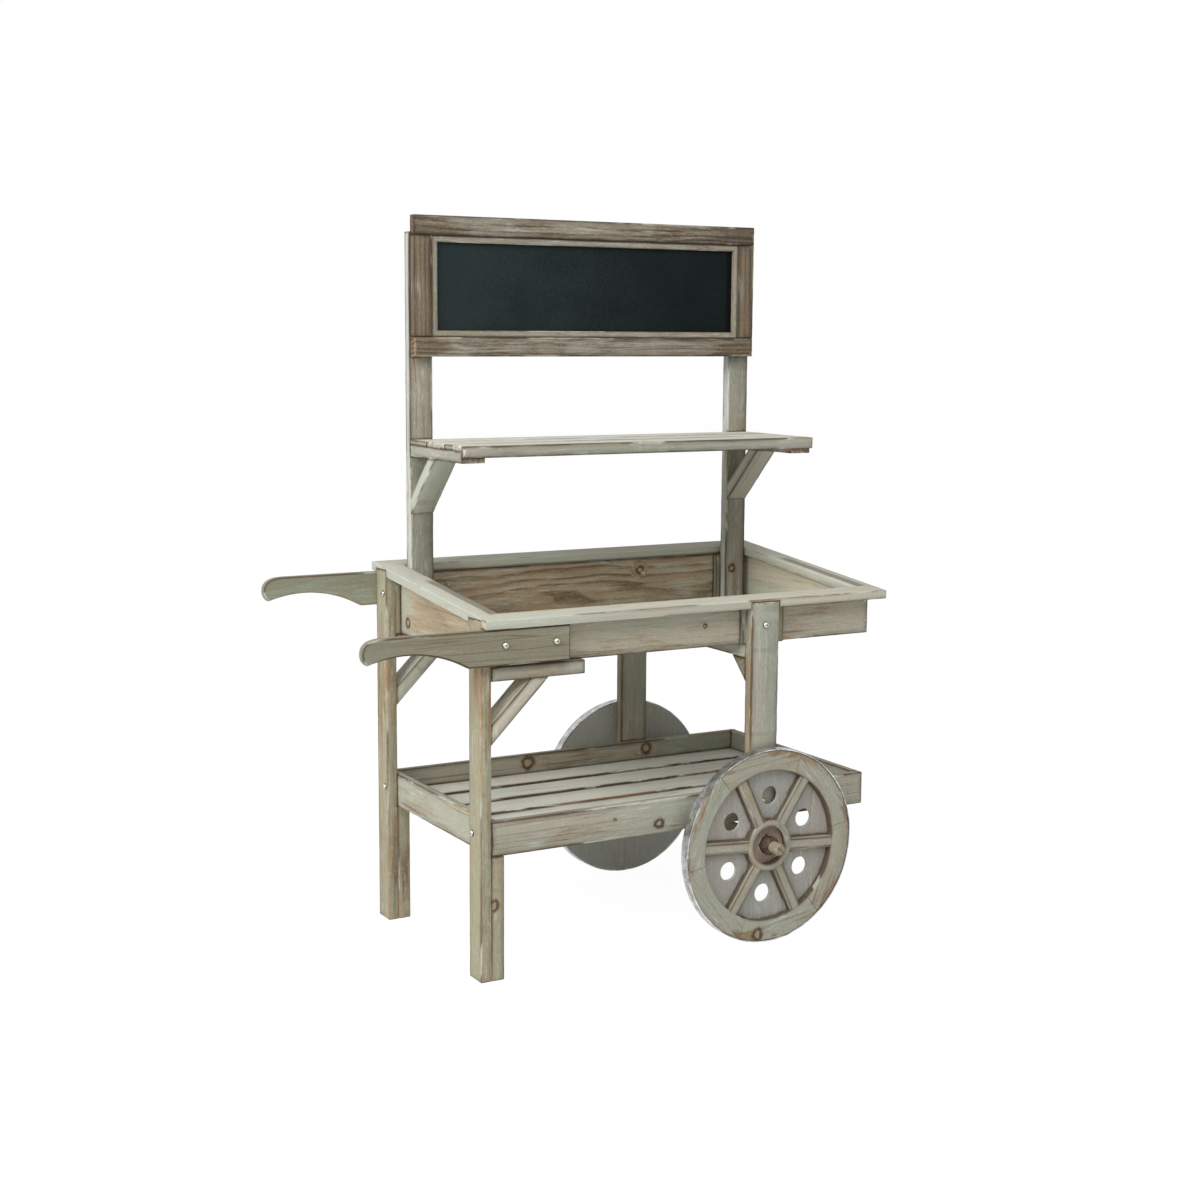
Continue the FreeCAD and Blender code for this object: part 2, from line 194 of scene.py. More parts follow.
CLOUD = Pattern(4.0, 20.0, 5.0, 0.62)
PATCH = Pattern(12.0, 90.0, 4.0, 0.65)
FIBRE = Pattern(18.0, 620.0, 3.0, 0.6)
BRUSH = Pattern(22.0, 300.0, 3.0, 0.7)
DRIFT = Pattern(2.3, 9.0, 2.0)
SWAY = Pattern(1.6, 14.0, 2.0)
BLUSH = Pattern(5.0, 65.0, 4.0, 0.6)
STREAK = Pattern(2.0, 110.0, 4.0, 0.65)
SPLIT = Pattern(0.9, 52.0, 2.0, 0.3)
SPECK = Pattern(160.0, 620.0, 2.0, 0.6)


class Kit:
    """Adds nodes to one material or to the surroundings."""

    def __init__(self, owner: Finish | bpy.types.World) -> None:
        """Start with an empty node tree.

        Args:
            owner: what the nodes belong to.
        """
        owner.use_nodes = True
        self.owner = owner
        self.tree = owner.node_tree
        self.tree.nodes.clear()

    @classmethod
    def fresh(cls, name: str) -> "Kit":
        """Kit of a new material."""
        return cls(bpy.data.materials.new(name))

    def node(self, kind: str, settings: dict[str, Any], sockets: dict[Any, Any]) -> bpy.types.Node:
        """Add a node.

        Args:
            kind: the node's type.
            settings: its properties, set first.
            sockets: values or links for its inputs, by name or place.

        Returns:
            The node.
        """
        made = self.tree.nodes.new(kind)
        for name, value in settings.items():
            setattr(made, name, value)
        for key, value in sockets.items():
            source = value.socket if isinstance(value, Value) else value
            if isinstance(source, Socket):
                self.tree.links.new(source, made.inputs[key])
            else:
                made.inputs[key].default_value = source
        return made

    def place(self) -> Socket:
        """Object coordinates, in metres."""
        return self.node("ShaderNodeTexCoord", {}, {}).outputs["Object"]

    def facing(self, direction: Vector) -> Value:
        """How far the surface faces a direction of the piece, from -1 to 1."""
        normal = self.node("ShaderNodeTexCoord", {}, {}).outputs["Normal"]
        return self.dot(normal, direction)

    def vector_math(self, operation: str, *terms: Any) -> bpy.types.Node:
        """Add one Vector Math node."""
        return self.node("ShaderNodeVectorMath", {"operation": operation}, dict(enumerate(terms)))

    def dot(self, vector: Socket, direction: Vector) -> Value:
        """Length of a vector along a direction."""
        return Value(self, self.vector_math("DOT_PRODUCT", vector, direction).outputs["Value"])

    def vector(self, x: Value | float, y: Value | float, z: Value | float) -> Socket:
        """Three numbers as a vector."""
        return self.node("ShaderNodeCombineXYZ", {}, {0: x, 1: y, 2: z}).outputs[0]

    def parts(self, vector: Socket) -> tuple[Value, Value, Value]:
        """A vector as three numbers."""
        node = self.node("ShaderNodeSeparateXYZ", {}, {0: vector})
        return Value(self, node.outputs[0]), Value(self, node.outputs[1]), Value(self, node.outputs[2])

    def pattern(self, fibres: Socket, shape: Pattern) -> Value:
        """A pattern laid along the fibres."""
        stretched = self.vector_math("MULTIPLY", fibres, (shape.along, shape.across, shape.across))
        return self.noise(stretched.outputs[0], shape.detail, shape.rough)

    def noise(self, vector: Socket, detail: float, rough: float = 0.55) -> Value:
        """Cloudy pattern of unit size.

        Args:
            vector: where to read it.
            detail: how many finer layers it has.
            rough: how strong the finer layers are.

        Returns:
            A value about 0.5.
        """
        sockets = {"Vector": vector, "Scale": 1.0, "Detail": detail, "Roughness": rough}
        return Value(self, self.node("ShaderNodeTexNoise", {}, sockets).outputs[0])

    def mix(self, share: Value | float, first: Any, second: Any) -> Socket:
        """Blend two colours.

        Args:
            share: how much of the second.
            first: a colour or a link.
            second: a colour or a link.

        Returns:
            The mixed colour.
        """
        colours = [(*c, 1.0) if isinstance(c, tuple) else c for c in (first, second)]
        sockets = {0: share, 6: colours[0], 7: colours[1]}
        return self.node("ShaderNodeMix", {"data_type": "RGBA"}, sockets).outputs[2]

    def surface(self, sockets: dict[str, Any], height: Value, depth: float) -> Finish:
        """Finish the material with a principled shader.

        Args:
            sockets: the shader's inputs.
            height: relief from 0 to 1.
            depth: size of the relief in metres.

        Returns:
            The material.
        """
        relief = {"Strength": 1.0, "Distance": depth, "Height": height}
        sockets = sockets | {"Normal": self.node("ShaderNodeBump", {}, relief).outputs[0]}
        shader = self.node("ShaderNodeBsdfPrincipled", {}, sockets)
        self.node("ShaderNodeOutputMaterial", {}, {"Surface": shader.outputs[0]})
        return self.owner


@dataclass(frozen=True)
class Slab:
    """Space between two parallel faces of a board."""

    normal: Vector
    centre: float
    half: float

    def depth(self, point: Vector) -> float:
        """How far a point lies under the nearer face."""
        return self.half - abs(self.normal.dot(point) - self.centre)

    def depth_value(self, kit: Kit, place: Socket) -> Value:
        """The same depth as a value over the surface."""
        return self.half - abs(kit.dot(place, self.normal) - self.centre)


def box_slabs(low: Vector, high: Vector) -> tuple[Slab, ...]:
    """The three pairs of faces of a box.

    Args:
        low: lowest corner.
        high: highest corner.

    Returns:
        Slabs along X, Y and Z.
    """
    middle = (low + high) / 2
    half = (high - low) / 2
    axes = (X_AXIS, Y_AXIS, Z_AXIS)
    return tuple(Slab(axis, middle[i], half[i]) for i, axis in enumerate(axes))


@dataclass(frozen=True)
class Neighbour:
    """A box that stands against a board; the board is painted darker next to it, as painted shade."""

    low: Vector
    high: Vector

    def touches(self, low: Vector, high: Vector, slack: float = 0.6 * MM) -> bool:
        """Whether the box meets another box."""
        return all(self.low[i] < high[i] + slack and self.high[i] > low[i] - slack for i in range(3))

    def gap(self, kit: Kit, place: Socket) -> Value:
        """Distance from the box as a value over the surface."""
        away = kit.vector_math("SUBTRACT", place, (self.low + self.high) / 2).outputs[0]
        away = kit.vector_math("ABSOLUTE", away).outputs[0]
        away = kit.vector_math("SUBTRACT", away, (self.high - self.low) / 2).outputs[0]
        x, y, z = kit.parts(away)
        return x.most(y).most(z)


@dataclass(frozen=True)
class Knot:
    """A knot seen on a board: its place and radius in metres."""

    place: Vector
    radius: float


@dataclass(frozen=True)
class Grain:
    """How the fibres of one board run."""

    along: Vector
    seed: str
    slabs: tuple[Slab, ...] = ()
    ends: Slab | None = None
    knots: tuple[Knot, ...] = ()
    bare_side: Vector | None = None
    dirty_side: Vector | None = None
    pale_side: Vector | None = None
    contacts: tuple["Neighbour | Cut", ...] = ()

    def turned(self, kit: Kit) -> Socket:
        """Coordinates with the fibres along the first axis, shifted for this board."""
        first = self.along.normalized()
        second = Y_AXIS if abs(first.y) < 0.5 else X_AXIS
        third = first.cross(second).normalized()
        second = third.cross(first)
        turn = Matrix((first, second, third)).to_euler("XYZ")
        chance = random.Random(self.seed)
        shift = tuple(chance.uniform(-3.0, 3.0) for _ in range(3))
        sockets = {"Vector": kit.place(), "Rotation": turn, "Location": shift}
        return kit.node("ShaderNodeMapping", {"vector_type": "POINT"}, sockets).outputs[0]

    def pith(self) -> tuple[float, float]:
        """Offset of the log's heart from the board, in metres."""
        chance = random.Random(self.seed + " pith")
        angle = chance.uniform(0, FULL_TURN)
        reach = chance.uniform(0.02, 0.09)
        return reach * math.cos(angle), reach * math.sin(angle)


@dataclass
class Marks:
    """Where a board is worn, cut or left without wash, and where shade or light is painted on it; each value
    is None where it doesn't apply.
    """

    arris: Value | None = None
    ends: Value | None = None
    knot: Value | None = None
    end_grain: Value | None = None
    bare: Value | None = None
    dirty: Value | None = None
    stained: Value | None = None
    pale: Value | None = None
    contact: Value | None = None


@dataclass
class Noises:
    """Patterns of one board that several layers share."""

    cloud: Value
    patch: Value
    fibre: Value
    brush: Value
    drift: Value


@dataclass(frozen=True)
class Timber:
    """Fir under a thin grey-green wash, rubbed through along the arrises."""

    green: Colour = (0.432, 0.470, 0.392)
    warm: Colour = (0.490, 0.462, 0.372)
    white: Colour = (0.660, 0.690, 0.620)
    bare: Colour = (0.420, 0.322, 0.204)
    deep: Colour = (0.130, 0.088, 0.052)
    ember: Colour = (0.400, 0.215, 0.095)
    stain: Colour = (0.390, 0.225, 0.168)
    blush: Colour = (0.430, 0.285, 0.195)
    cover: float = 0.55
    end_cover: float = 0.30
    streaks: float = 0.5
    worn: float = 0.7
    grime: float = 0.85
    ember_until: float = 0.44
    dirt_and_shade_from: float = 0.475
    rings_seen: float = 0.35
    line: float = 4.2 * MM
    roughness: float = 0.8
    ring_rate: float = 110.0
    wash_share: float = 0.86
    white_share: float = 0.6
    bare_loss: float = 0.34
    end_reach: float = 100 * MM
    blush_share: float = 0.55
    split_share: float = 0.5
    end_grain_share: float = 0.55
    stain_share: float = 0.75
    side_shade_share: float = 0.9
    painted_light_share: float = 0.7
    speck_share: float = 0.30
    contact_shade_share: float = 0.8
    contact_shade_width: float = 4.5 * MM
    knot_share: float = 0.9
    shine: float = 0.3
    relief: float = 0.8 * MM

    def darker(self, share: float) -> Colour:
        """Part of the deep brown, for soiling, painted shade and knot rings."""
        return tuple(c * share for c in self.deep)

    def material(self, name: str, grain: Grain) -> Finish:
        """Make the finish for one board.

        Args:
            name: the material's name.
            grain: the board's fibres, faces and knots.

        Returns:
            The material.
        """
        kit = Kit.fresh(name)
        place = kit.place()
        marks = Marks(knot=nearest_knot(kit, place, grain.knots))
        depths = [slab.depth_value(kit, place) for slab in grain.slabs]
        if len(depths) > 1:
            marks.arris = second_least(depths)
        if grain.ends:
            marks.ends = grain.ends.depth_value(kit, place)
        marks.end_grain = abs(kit.facing(grain.along.normalized())).ease(0.75, 0.95)
        if grain.bare_side:
            marks.bare = kit.facing(grain.bare_side).ease(0.5, 0.9)
        if grain.dirty_side:
            marks.dirty = abs(kit.facing(grain.dirty_side)).ease(0.6, 0.9)
        if grain.pale_side:
            marks.pale = kit.facing(grain.pale_side).ease(0.5, 0.9)
        for contact in grain.contacts:
            gap = contact.gap(kit, place)
            marks.contact = gap if marks.contact is None else marks.contact.least(gap)
        return self.coat(kit, grain.turned(kit), grain.pith(), marks)

    def coat(self, kit: Kit, fibres: Socket, pith: tuple[float, float], marks: Marks) -> Finish:
        """Lay wood, wash, streaks and wear over one another.

        Args:
            kit: the material being built.
            fibres: coordinates with the fibres along the first axis.
            pith: offset of the log's heart.
            marks: where the board is worn or bare.

        Returns:
            The material.
        """
        noises = Noises(*(kit.pattern(fibres, shape) for shape in (CLOUD, PATCH, FIBRE, BRUSH, DRIFT)))
        late = self.rings(kit, fibres, pith, noises.drift, marks.knot)
        wash = self.wash(noises, late, marks)
        colour = kit.mix(wash * self.wash_share, self.wood(kit, late, noises), self.tint(kit, noises))
        blush = kit.pattern(fibres, BLUSH).ease(0.55, 0.66) * (1.0 - wash * 0.55)
        colour = kit.mix(blush * self.blush_share, colour, self.blush)
        streak = kit.pattern(fibres, STREAK).ease(0.56, 0.72) * (1.0 - noises.cloud.ease(0.42, 0.62))
        colour = kit.mix(streak * self.streaks, colour, self.deep)
        split = 1.0 - abs(kit.pattern(fibres, SPLIT) - 0.5).ease(0.001, 0.009)
        split = split * noises.drift.ease(0.53, 0.62)
        colour = kit.mix(split * self.split_share, colour, self.deep)
        if marks.knot is not None:
            colour = self.knotted(kit, colour, marks.knot, noises.fibre)
        if marks.end_grain is not None:
            sawn = kit.mix(late, self.bare, self.deep)
            colour = kit.mix(marks.end_grain * self.end_grain_share, colour, sawn)
        colour = self.stain_shade_and_light(kit, colour, marks, wash)
        speck = kit.pattern(fibres, SPECK)
        colour = kit.mix(speck.ease(0.56, 0.74) * self.speck_share, colour, self.deep)
        colour = kit.mix((1.0 - speck.ease(0.28, 0.44)) * self.speck_share, colour, self.white)
        if marks.arris is not None:
            colour = self.rubbed(kit, colour, marks.arris, noises)
        if marks.contact is not None:
            # Painted shade: darker next to the boards and the rim that stand against this one.
            near = marks.contact + (noises.patch - 0.5) * (5 * MM)
            shade = 1.0 - near.ease(0.3 * MM, self.contact_shade_width)
            colour = kit.mix(shade * self.grime * self.contact_shade_share, colour, self.darker(0.45))
        height = noises.fibre * 0.4 + noises.brush * 0.4 - late * 0.15 - split * 0.9
        rough = self.roughness + (noises.fibre - 0.5) * 0.25 - wash * 0.05
        sockets = {"Base Color": colour, "Roughness": rough, "Specular IOR Level": self.shine}
        return kit.surface(sockets, height, self.relief)

    def wash(self, noises: Noises, late: Value, marks: Marks) -> Value:
        """How far the wash covers the wood, from 0 to 1."""
        thick = noises.cloud * 0.9 + noises.patch * 0.75 + noises.brush * 0.65 + noises.fibre * 0.2
        thick = thick - late * (0.12 * self.rings_seen)
        if marks.ends is not None:
            thick = thick + (1.0 - marks.ends.ease(0.0, self.end_reach)) * self.end_cover
        if marks.bare is not None:
            thick = thick - marks.bare * self.bare_loss
        bias = 1.70 - self.cover
        return thick.ease(bias - 0.15, bias + 0.17)

    def tint(self, kit: Kit, noises: Noises) -> Socket:
        """Colour of the wash: green and warm by turns, white under the brush."""
        tint = kit.mix(noises.drift.ease(0.38, 0.62), self.green, self.warm)
        brushed = (noises.brush + noises.patch * 0.5).ease(0.80, 1.0)
        return kit.mix(brushed * self.white_share, tint, self.white)

    def wood(self, kit: Kit, late: Value, noises: Noises) -> Socket:
        """Bare fir: year rings and fibres from light to dark brown."""
        tone = late * self.rings_seen + (noises.fibre - 0.5) * 0.7 - (noises.cloud - 0.5) * 1.6
        return kit.mix(tone.ease(-0.15, 1.0), self.bare, self.deep)

    def stain_shade_and_light(self, kit: Kit, colour: Socket, marks: Marks, wash: Value) -> Socket:
        """Stains on whole faces, painted shade on side faces, and painted light as a whiter wash on lit
        faces.
        """
        if marks.stained is not None:
            colour = kit.mix(marks.stained * self.stain_share, colour, self.stain)
        # Painted shade on faces that look into the gaps between slats.
        if marks.dirty is not None:
            colour = kit.mix(marks.dirty * self.side_shade_share, colour, self.darker(0.35))
        # Painted light: faces towards the lamp, and the wheel's inner face, take more white wash.
        if marks.pale is not None:
            colour = kit.mix(marks.pale * wash * self.painted_light_share, colour, self.white)
        return colour

    def rubbed(self, kit: Kit, colour: Socket, arris: Value, noises: Noises) -> Socket:
        """Arrises with dark lines of soiling and painted shade, bare wood and thick wash by turns.

        Args:
            kit: the material being built.
            colour: the colour below.
            arris: distance to the nearest arris.
            noises: the board's patterns.

        Returns:
            The colour with worn arrises.
        """
        ragged = arris + (noises.patch - 0.5) * (1.8 * self.line) + (noises.cloud - 0.5) * self.line
        edge = 1.0 - ragged.ease(0.2 * self.line, self.line)
        band = 1.0 - ragged.ease(0.3 * self.line, 3.0 * self.line)
        turn = noises.cloud * 0.6 + noises.drift * 0.4
        fresh = turn.ease(self.ember_until - 0.02, self.ember_until + 0.02)
        dirt = turn.ease(self.dirt_and_shade_from - 0.02, self.dirt_and_shade_from + 0.02)
        # Dark band and line along the arrises: soiling, and painted shade of the joints.
        colour = kit.mix(band * dirt * self.grime * 0.45, colour, self.deep)
        colour = kit.mix(edge * self.worn * (1.0 - dirt), colour, kit.mix(fresh, self.ember, self.white))
        return kit.mix(edge * dirt * self.grime, colour, self.darker(0.7))

    def rings(self, kit: Kit, fibres: Socket, pith: tuple[float, float], drift: Value,
              knot: Value | None) -> Value:
        """Dark late wood of the year rings, bent round knots."""
        _, across, through = kit.parts(fibres)
        sway = kit.pattern(fibres, SWAY)
        side = across - (log_centre(across) + pith[0]) + (drift - 0.5) * 0.05
        deep = through - (log_centre(through) + pith[1]) + (sway - 0.5) * 0.04
        reach = (side * side + deep * deep).root() * self.ring_rate + (sway - 0.5) * 1.6
        if knot is not None:
            reach = reach + (1.0 - knot.ease(0.6, 3.2)) * 3.0
        saw = reach.fraction()
        return saw.ease(0.3, 0.88) - saw.ease(0.92, 1.0)

    def knotted(self, kit: Kit, colour: Socket, knot: Value, fibre: Value) -> Socket:
        """Dark ring and brown heart of each knot."""
        rough = knot + (fibre - 0.5) * 0.4
        heart = 1.0 - rough.ease(0.45, 0.8)
        ring = rough.ease(0.4, 0.75) - rough.ease(1.0, 1.6)
        colour = kit.mix((1.0 - rough.ease(0.9, 2.4)) * 0.35, colour, self.ember)
        colour = kit.mix(heart * 0.5, colour, self.bare)
        return kit.mix(ring * self.knot_share, colour, self.darker(0.45))


def log_centre(value: Value) -> Value:
    """Centre of the log that a shifted coordinate falls in."""
    return (value / LOG_PITCH).whole() * LOG_PITCH + LOG_PITCH / 2


def second_least(depths: Sequence[Value]) -> Value:
    """Distance to the nearest arris: the second smallest face depth.

    Args:
        depths: two or three face depths.

    Returns:
        The second smallest.
    """
    if len(depths) == 2:
        return depths[0].most(depths[1])
    first, second, third = depths
    return first.least(second).most(first.most(second).least(third))


def distance_from(kit: Kit, place: Socket, point: Vector) -> Value:
    """Distance from one point as a value over the surface."""
    offset = kit.vector_math("SUBTRACT", place, point).outputs[0]
    return Value(kit, kit.vector_math("LENGTH", offset).outputs["Value"])


def nearest_knot(kit: Kit, place: Socket, knots: Iterable[Knot]) -> Value | None:
    """Distance to the nearest knot, counted in its radius.

    Args:
        kit: the material being built.
        place: object coordinates.
        knots: the knots of one board.

    Returns:
        The distance, or None with no knots.
    """
    nearest = None
    for knot in knots:
        length = distance_from(kit, place, knot.place)
        lumps = kit.pattern(place, Pattern(0.9 / knot.radius, 0.9 / knot.radius, 2.0))
        far = length / knot.radius + (lumps - 0.5) * 1.3
        nearest = far if nearest is None else nearest.least(far)
    return nearest


@dataclass(frozen=True)
class SlatePaint:
    """Matt black writing paint with faint chalk left after wiping, painted lighter towards the left as
    painted light, and a painted shadow beside the right bead.
    """

    dark: Colour = (0.0042, 0.0068, 0.0068)
    wiped_and_lit: Colour = (0.030, 0.043, 0.044)
    shadow: Colour = (0.001, 0.001, 0.001)
    corner: float = 20 * MM
    shine: float = 0.08
    relief: float = 0.15 * MM

    def material(self) -> Finish:
        """Make the finish."""
        kit = Kit.fresh("slate_paint")
        x, y, z = kit.parts(kit.place())
        low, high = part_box("chalk_panel")
        cloud = kit.noise(kit.vector(x * 6.0, y, z * 9.0), 4.0, 0.6)
        grit = kit.noise(kit.vector(x * 420.0, y * 420.0, z * 420.0), 3.0, 0.7)
        across = (x - low.x) / (high.x - low.x)
        # Chalk clouds and grit over a left-to-right fall: painted light, lighter towards the left.
        wiped_and_lit = 0.62 - across * 0.62 + (cloud - 0.5) * 0.6 + (grit - 0.5) * 0.9
        colour = kit.mix(wiped_and_lit.ease(-0.1, 1.0), self.dark, self.wiped_and_lit)
        shade = 1.0 - (high.x - x).ease(self.corner, self.corner * 1.25)
        colour = kit.mix(shade * 0.8, colour, self.shadow)
        rough = 0.62 + (grit - 0.5) * 0.2
        sockets = {"Base Color": colour, "Roughness": rough, "Specular IOR Level": self.shine}
        return kit.surface(sockets, grit, self.relief)


@dataclass(frozen=True)
class HoopSteel:
    """Galvanised strip, rolled and lightly stained."""

    bright: Colour = (0.82, 0.83, 0.83)
    dull: Colour = (0.15, 0.155, 0.145)
    rust: Colour = (0.16, 0.085, 0.045)

    def material(self, name: str, centre: Vector) -> Finish:
        """Make the finish.

        Args:
            name: the material's name.
            centre: middle of the wheel.

        Returns:
            The material.
        """
        kit = Kit.fresh(name)
        x, y, z = kit.parts(kit.place())
        turn = (z - centre.z).angle_to(x - centre.x)
        rolled = kit.noise(kit.vector(turn * 2.0, y * 900.0, 0.0), 3.0)
        spangle = kit.noise(kit.vector(x * 60.0, y * 60.0, z * 60.0), 3.0, 0.65)
        stain = kit.noise(kit.vector(x * 17.0, y * 40.0, z * 17.0), 4.0, 0.6).ease(0.6, 0.78)
        colour = kit.mix((rolled * 0.7 + spangle * 0.5).ease(0.42, 0.78), self.dull, self.bright)
        colour = kit.mix(stain * 0.6, colour, self.rust)
        rough = 0.28 + rolled * 0.2 + stain * 0.3
        metal = 1.0 - stain * 0.5
        return kit.surface({"Base Color": colour, "Roughness": rough, "Metallic": metal}, rolled, 0.1 * MM)


@dataclass(frozen=True)
class ZincSteel:
    """Yellow zinc on small bolts, nuts and nails, with brown tarnish."""

    zinc: Colour = (0.66, 0.56, 0.36)
    tarnish: Colour = (0.16, 0.11, 0.06)
    tarnished: float = 0.4
    seats: tuple[Vector, ...] = ()
    slot_reach: float = 4.3 * MM
    rim_reach: float = 5.5 * MM
    fade: float = 0.4 * MM

    def material(self, name: str) -> Finish:
        """Make the finish."""
        kit = Kit.fresh(name)
        place = kit.place()
        x, y, z = kit.parts(place)
        spots = kit.noise(kit.vector(x * 260.0, y * 260.0, z * 260.0), 3.0, 0.6)
        tarnish = (spots + self.tarnished - 0.5).ease(0.45, 0.75)
        colour = kit.mix(tarnish, self.zinc, self.tarnish)
        if self.seats:
            # Dirt and painted shade in the head slots and round the head rims.
            colour = kit.mix(self.dirt(kit, place) * 0.9, colour, tuple(c * 0.2 for c in self.tarnish))
        rough = 0.26 + tarnish * 0.35
        return kit.surface({"Base Color": colour, "Roughness": rough, "Metallic": 0.95}, spots, 0.1 * MM)

    def dirt(self, kit: Kit, place: Socket) -> Value:
        """Dirt and painted shade in the slots and round the rims of the heads on their seats."""
        reach = distance_from(kit, place, self.seats[0])
        for seat in self.seats[1:]:
            reach = reach.least(distance_from(kit, place, seat))
        slot = 1.0 - reach.ease(self.slot_reach - self.fade, self.slot_reach)
        return slot.most(reach.ease(self.rim_reach, self.rim_reach + self.fade))


WASHED = Timber()
PALE_WASHED = Timber(green=(0.382, 0.420, 0.354), warm=(0.418, 0.402, 0.326), cover=0.68, streaks=0.4)
POST_WASHED = Timber(green=(0.300, 0.330, 0.278), warm=(0.330, 0.315, 0.254), white=(0.66, 0.70, 0.64),
                     cover=0.66, streaks=0.4)
LEG_WASHED = Timber(green=(0.368, 0.366, 0.258), warm=(0.408, 0.352, 0.228),
                    bare=(0.365, 0.265, 0.146), cover=0.58, worn=0.5, grime=0.65, line=3.2 * MM)
STRUT_WASHED = Timber(green=(0.545, 0.590, 0.505), warm=(0.590, 0.566, 0.466), cover=0.74, streaks=0.3,
                      line=3.0 * MM)
# Near-white floor slats: a whiter wash, and painted light making up for the upper tray's shade.
FLOOR_WASHED_AND_LIT = Timber(green=(0.830, 0.870, 0.785), warm=(0.865, 0.845, 0.750),
                      white=(0.92, 0.93, 0.89), cover=0.95, streaks=0.3, rings_seen=0.15)
SLAT_WASHED = Timber(green=(0.680, 0.720, 0.640), warm=(0.720, 0.700, 0.600), white=(0.82, 0.84, 0.78),
                     cover=0.85, streaks=0.3, rings_seen=0.15)
TAN_WASHED = Timber(warm=(0.520, 0.450, 0.330), bare=(0.480, 0.385, 0.255), cover=0.40, streaks=0.15,
                    rings_seen=0.12)
BROWN_WASHED = Timber(green=(0.350, 0.345, 0.285), warm=(0.335, 0.300, 0.235),
                      white=(0.52, 0.51, 0.44), bare=(0.205, 0.155, 0.100), deep=(0.045, 0.032, 0.021),
                      cover=0.52, end_cover=-0.35, streaks=1.0, worn=0.6, grime=0.7, rings_seen=0.5,
                      blush=(0.200, 0.135, 0.085))
STILE_WASHED = replace(BROWN_WASHED, cover=0.30)
BEAD_WASHED = Timber(green=(0.345, 0.340, 0.282), warm=(0.340, 0.304, 0.235),
                     bare=(0.23, 0.175, 0.115), cover=0.6, line=1.5 * MM)
GREY_WASHED = Timber(green=(0.275, 0.310, 0.232), warm=(0.308, 0.302, 0.215), white=(0.44, 0.47, 0.40),
                     bare=(0.27, 0.222, 0.145), cover=0.74, streaks=0.35, blush=(0.31, 0.240, 0.160))
TRAY_WASHED = Timber(green=(0.455, 0.490, 0.405), warm=(0.515, 0.482, 0.382),
                     bare=(0.450, 0.345, 0.220), cover=0.58, end_cover=0.4)
INNER_WASHED = replace(TRAY_WASHED, deep=(0.085, 0.058, 0.034), blush=(0.370, 0.225, 0.142),
                       cover=0.70, streaks=1.0, rings_seen=0.5)
RIM_WASHED = Timber(green=(0.555, 0.592, 0.505), warm=(0.595, 0.574, 0.470), cover=0.85, streaks=0.2,
                    rings_seen=0.15, ember_until=0.40, dirt_and_shade_from=0.55, grime=0.75, line=2.2 * MM)
# Lighter copy for the tray's right end: a lighter wash, and painted light on its lit inner face.
LIT_WASHED = Timber(green=(0.600, 0.635, 0.545), warm=(0.640, 0.600, 0.460), bare=(0.56, 0.45, 0.29),
                    cover=0.62, streaks=0.2)
WHEEL_WASHED = Timber(green=(0.390, 0.415, 0.340), warm=(0.398, 0.380, 0.302),
                      bare=(0.35, 0.258, 0.162), cover=0.68, streaks=0.5, dirt_and_shade_from=0.455,
                      ember_until=0.43, blush=(0.42, 0.24, 0.13), line=1.9 * MM)
DISC_WASHED = Timber(green=(0.385, 0.405, 0.385), warm=(0.400, 0.385, 0.358), cover=0.85, streaks=0.25,
                     rings_seen=0.15, ember_until=0.35, dirt_and_shade_from=0.40, line=1.5 * MM)
AXLE_WOOD = Timber(bare=(0.33, 0.275, 0.19), deep=(0.06, 0.042, 0.026), cover=0.30, streaks=1.0)
NUT_WOOD = Timber(bare=(0.070, 0.050, 0.032), deep=(0.012, 0.008, 0.005), blush=(0.11, 0.065, 0.04),
                  cover=0.05, streaks=1.0)


@dataclass(frozen=True)
class Cut:
    """A saw cut: what lies beyond the plane falls away.

    The edges of a joint stay sharp, and along a cut under another board the board is painted darker, as
    painted shade.
    """

    point: Vector
    normal: Vector
    joint: bool = False
    shade_along: bool = False

    def holds(self, point: Vector) -> bool:
        """Whether a point lies in the cut's plane."""
        return abs(self.normal.normalized().dot(point - self.point)) < 0.05 * MM

    def gap(self, kit: Kit, place: Socket) -> Value:
        """Distance under the cut as a value over the surface."""
        normal = self.normal.normalized()
        return normal.dot(self.point) - kit.dot(place, normal)


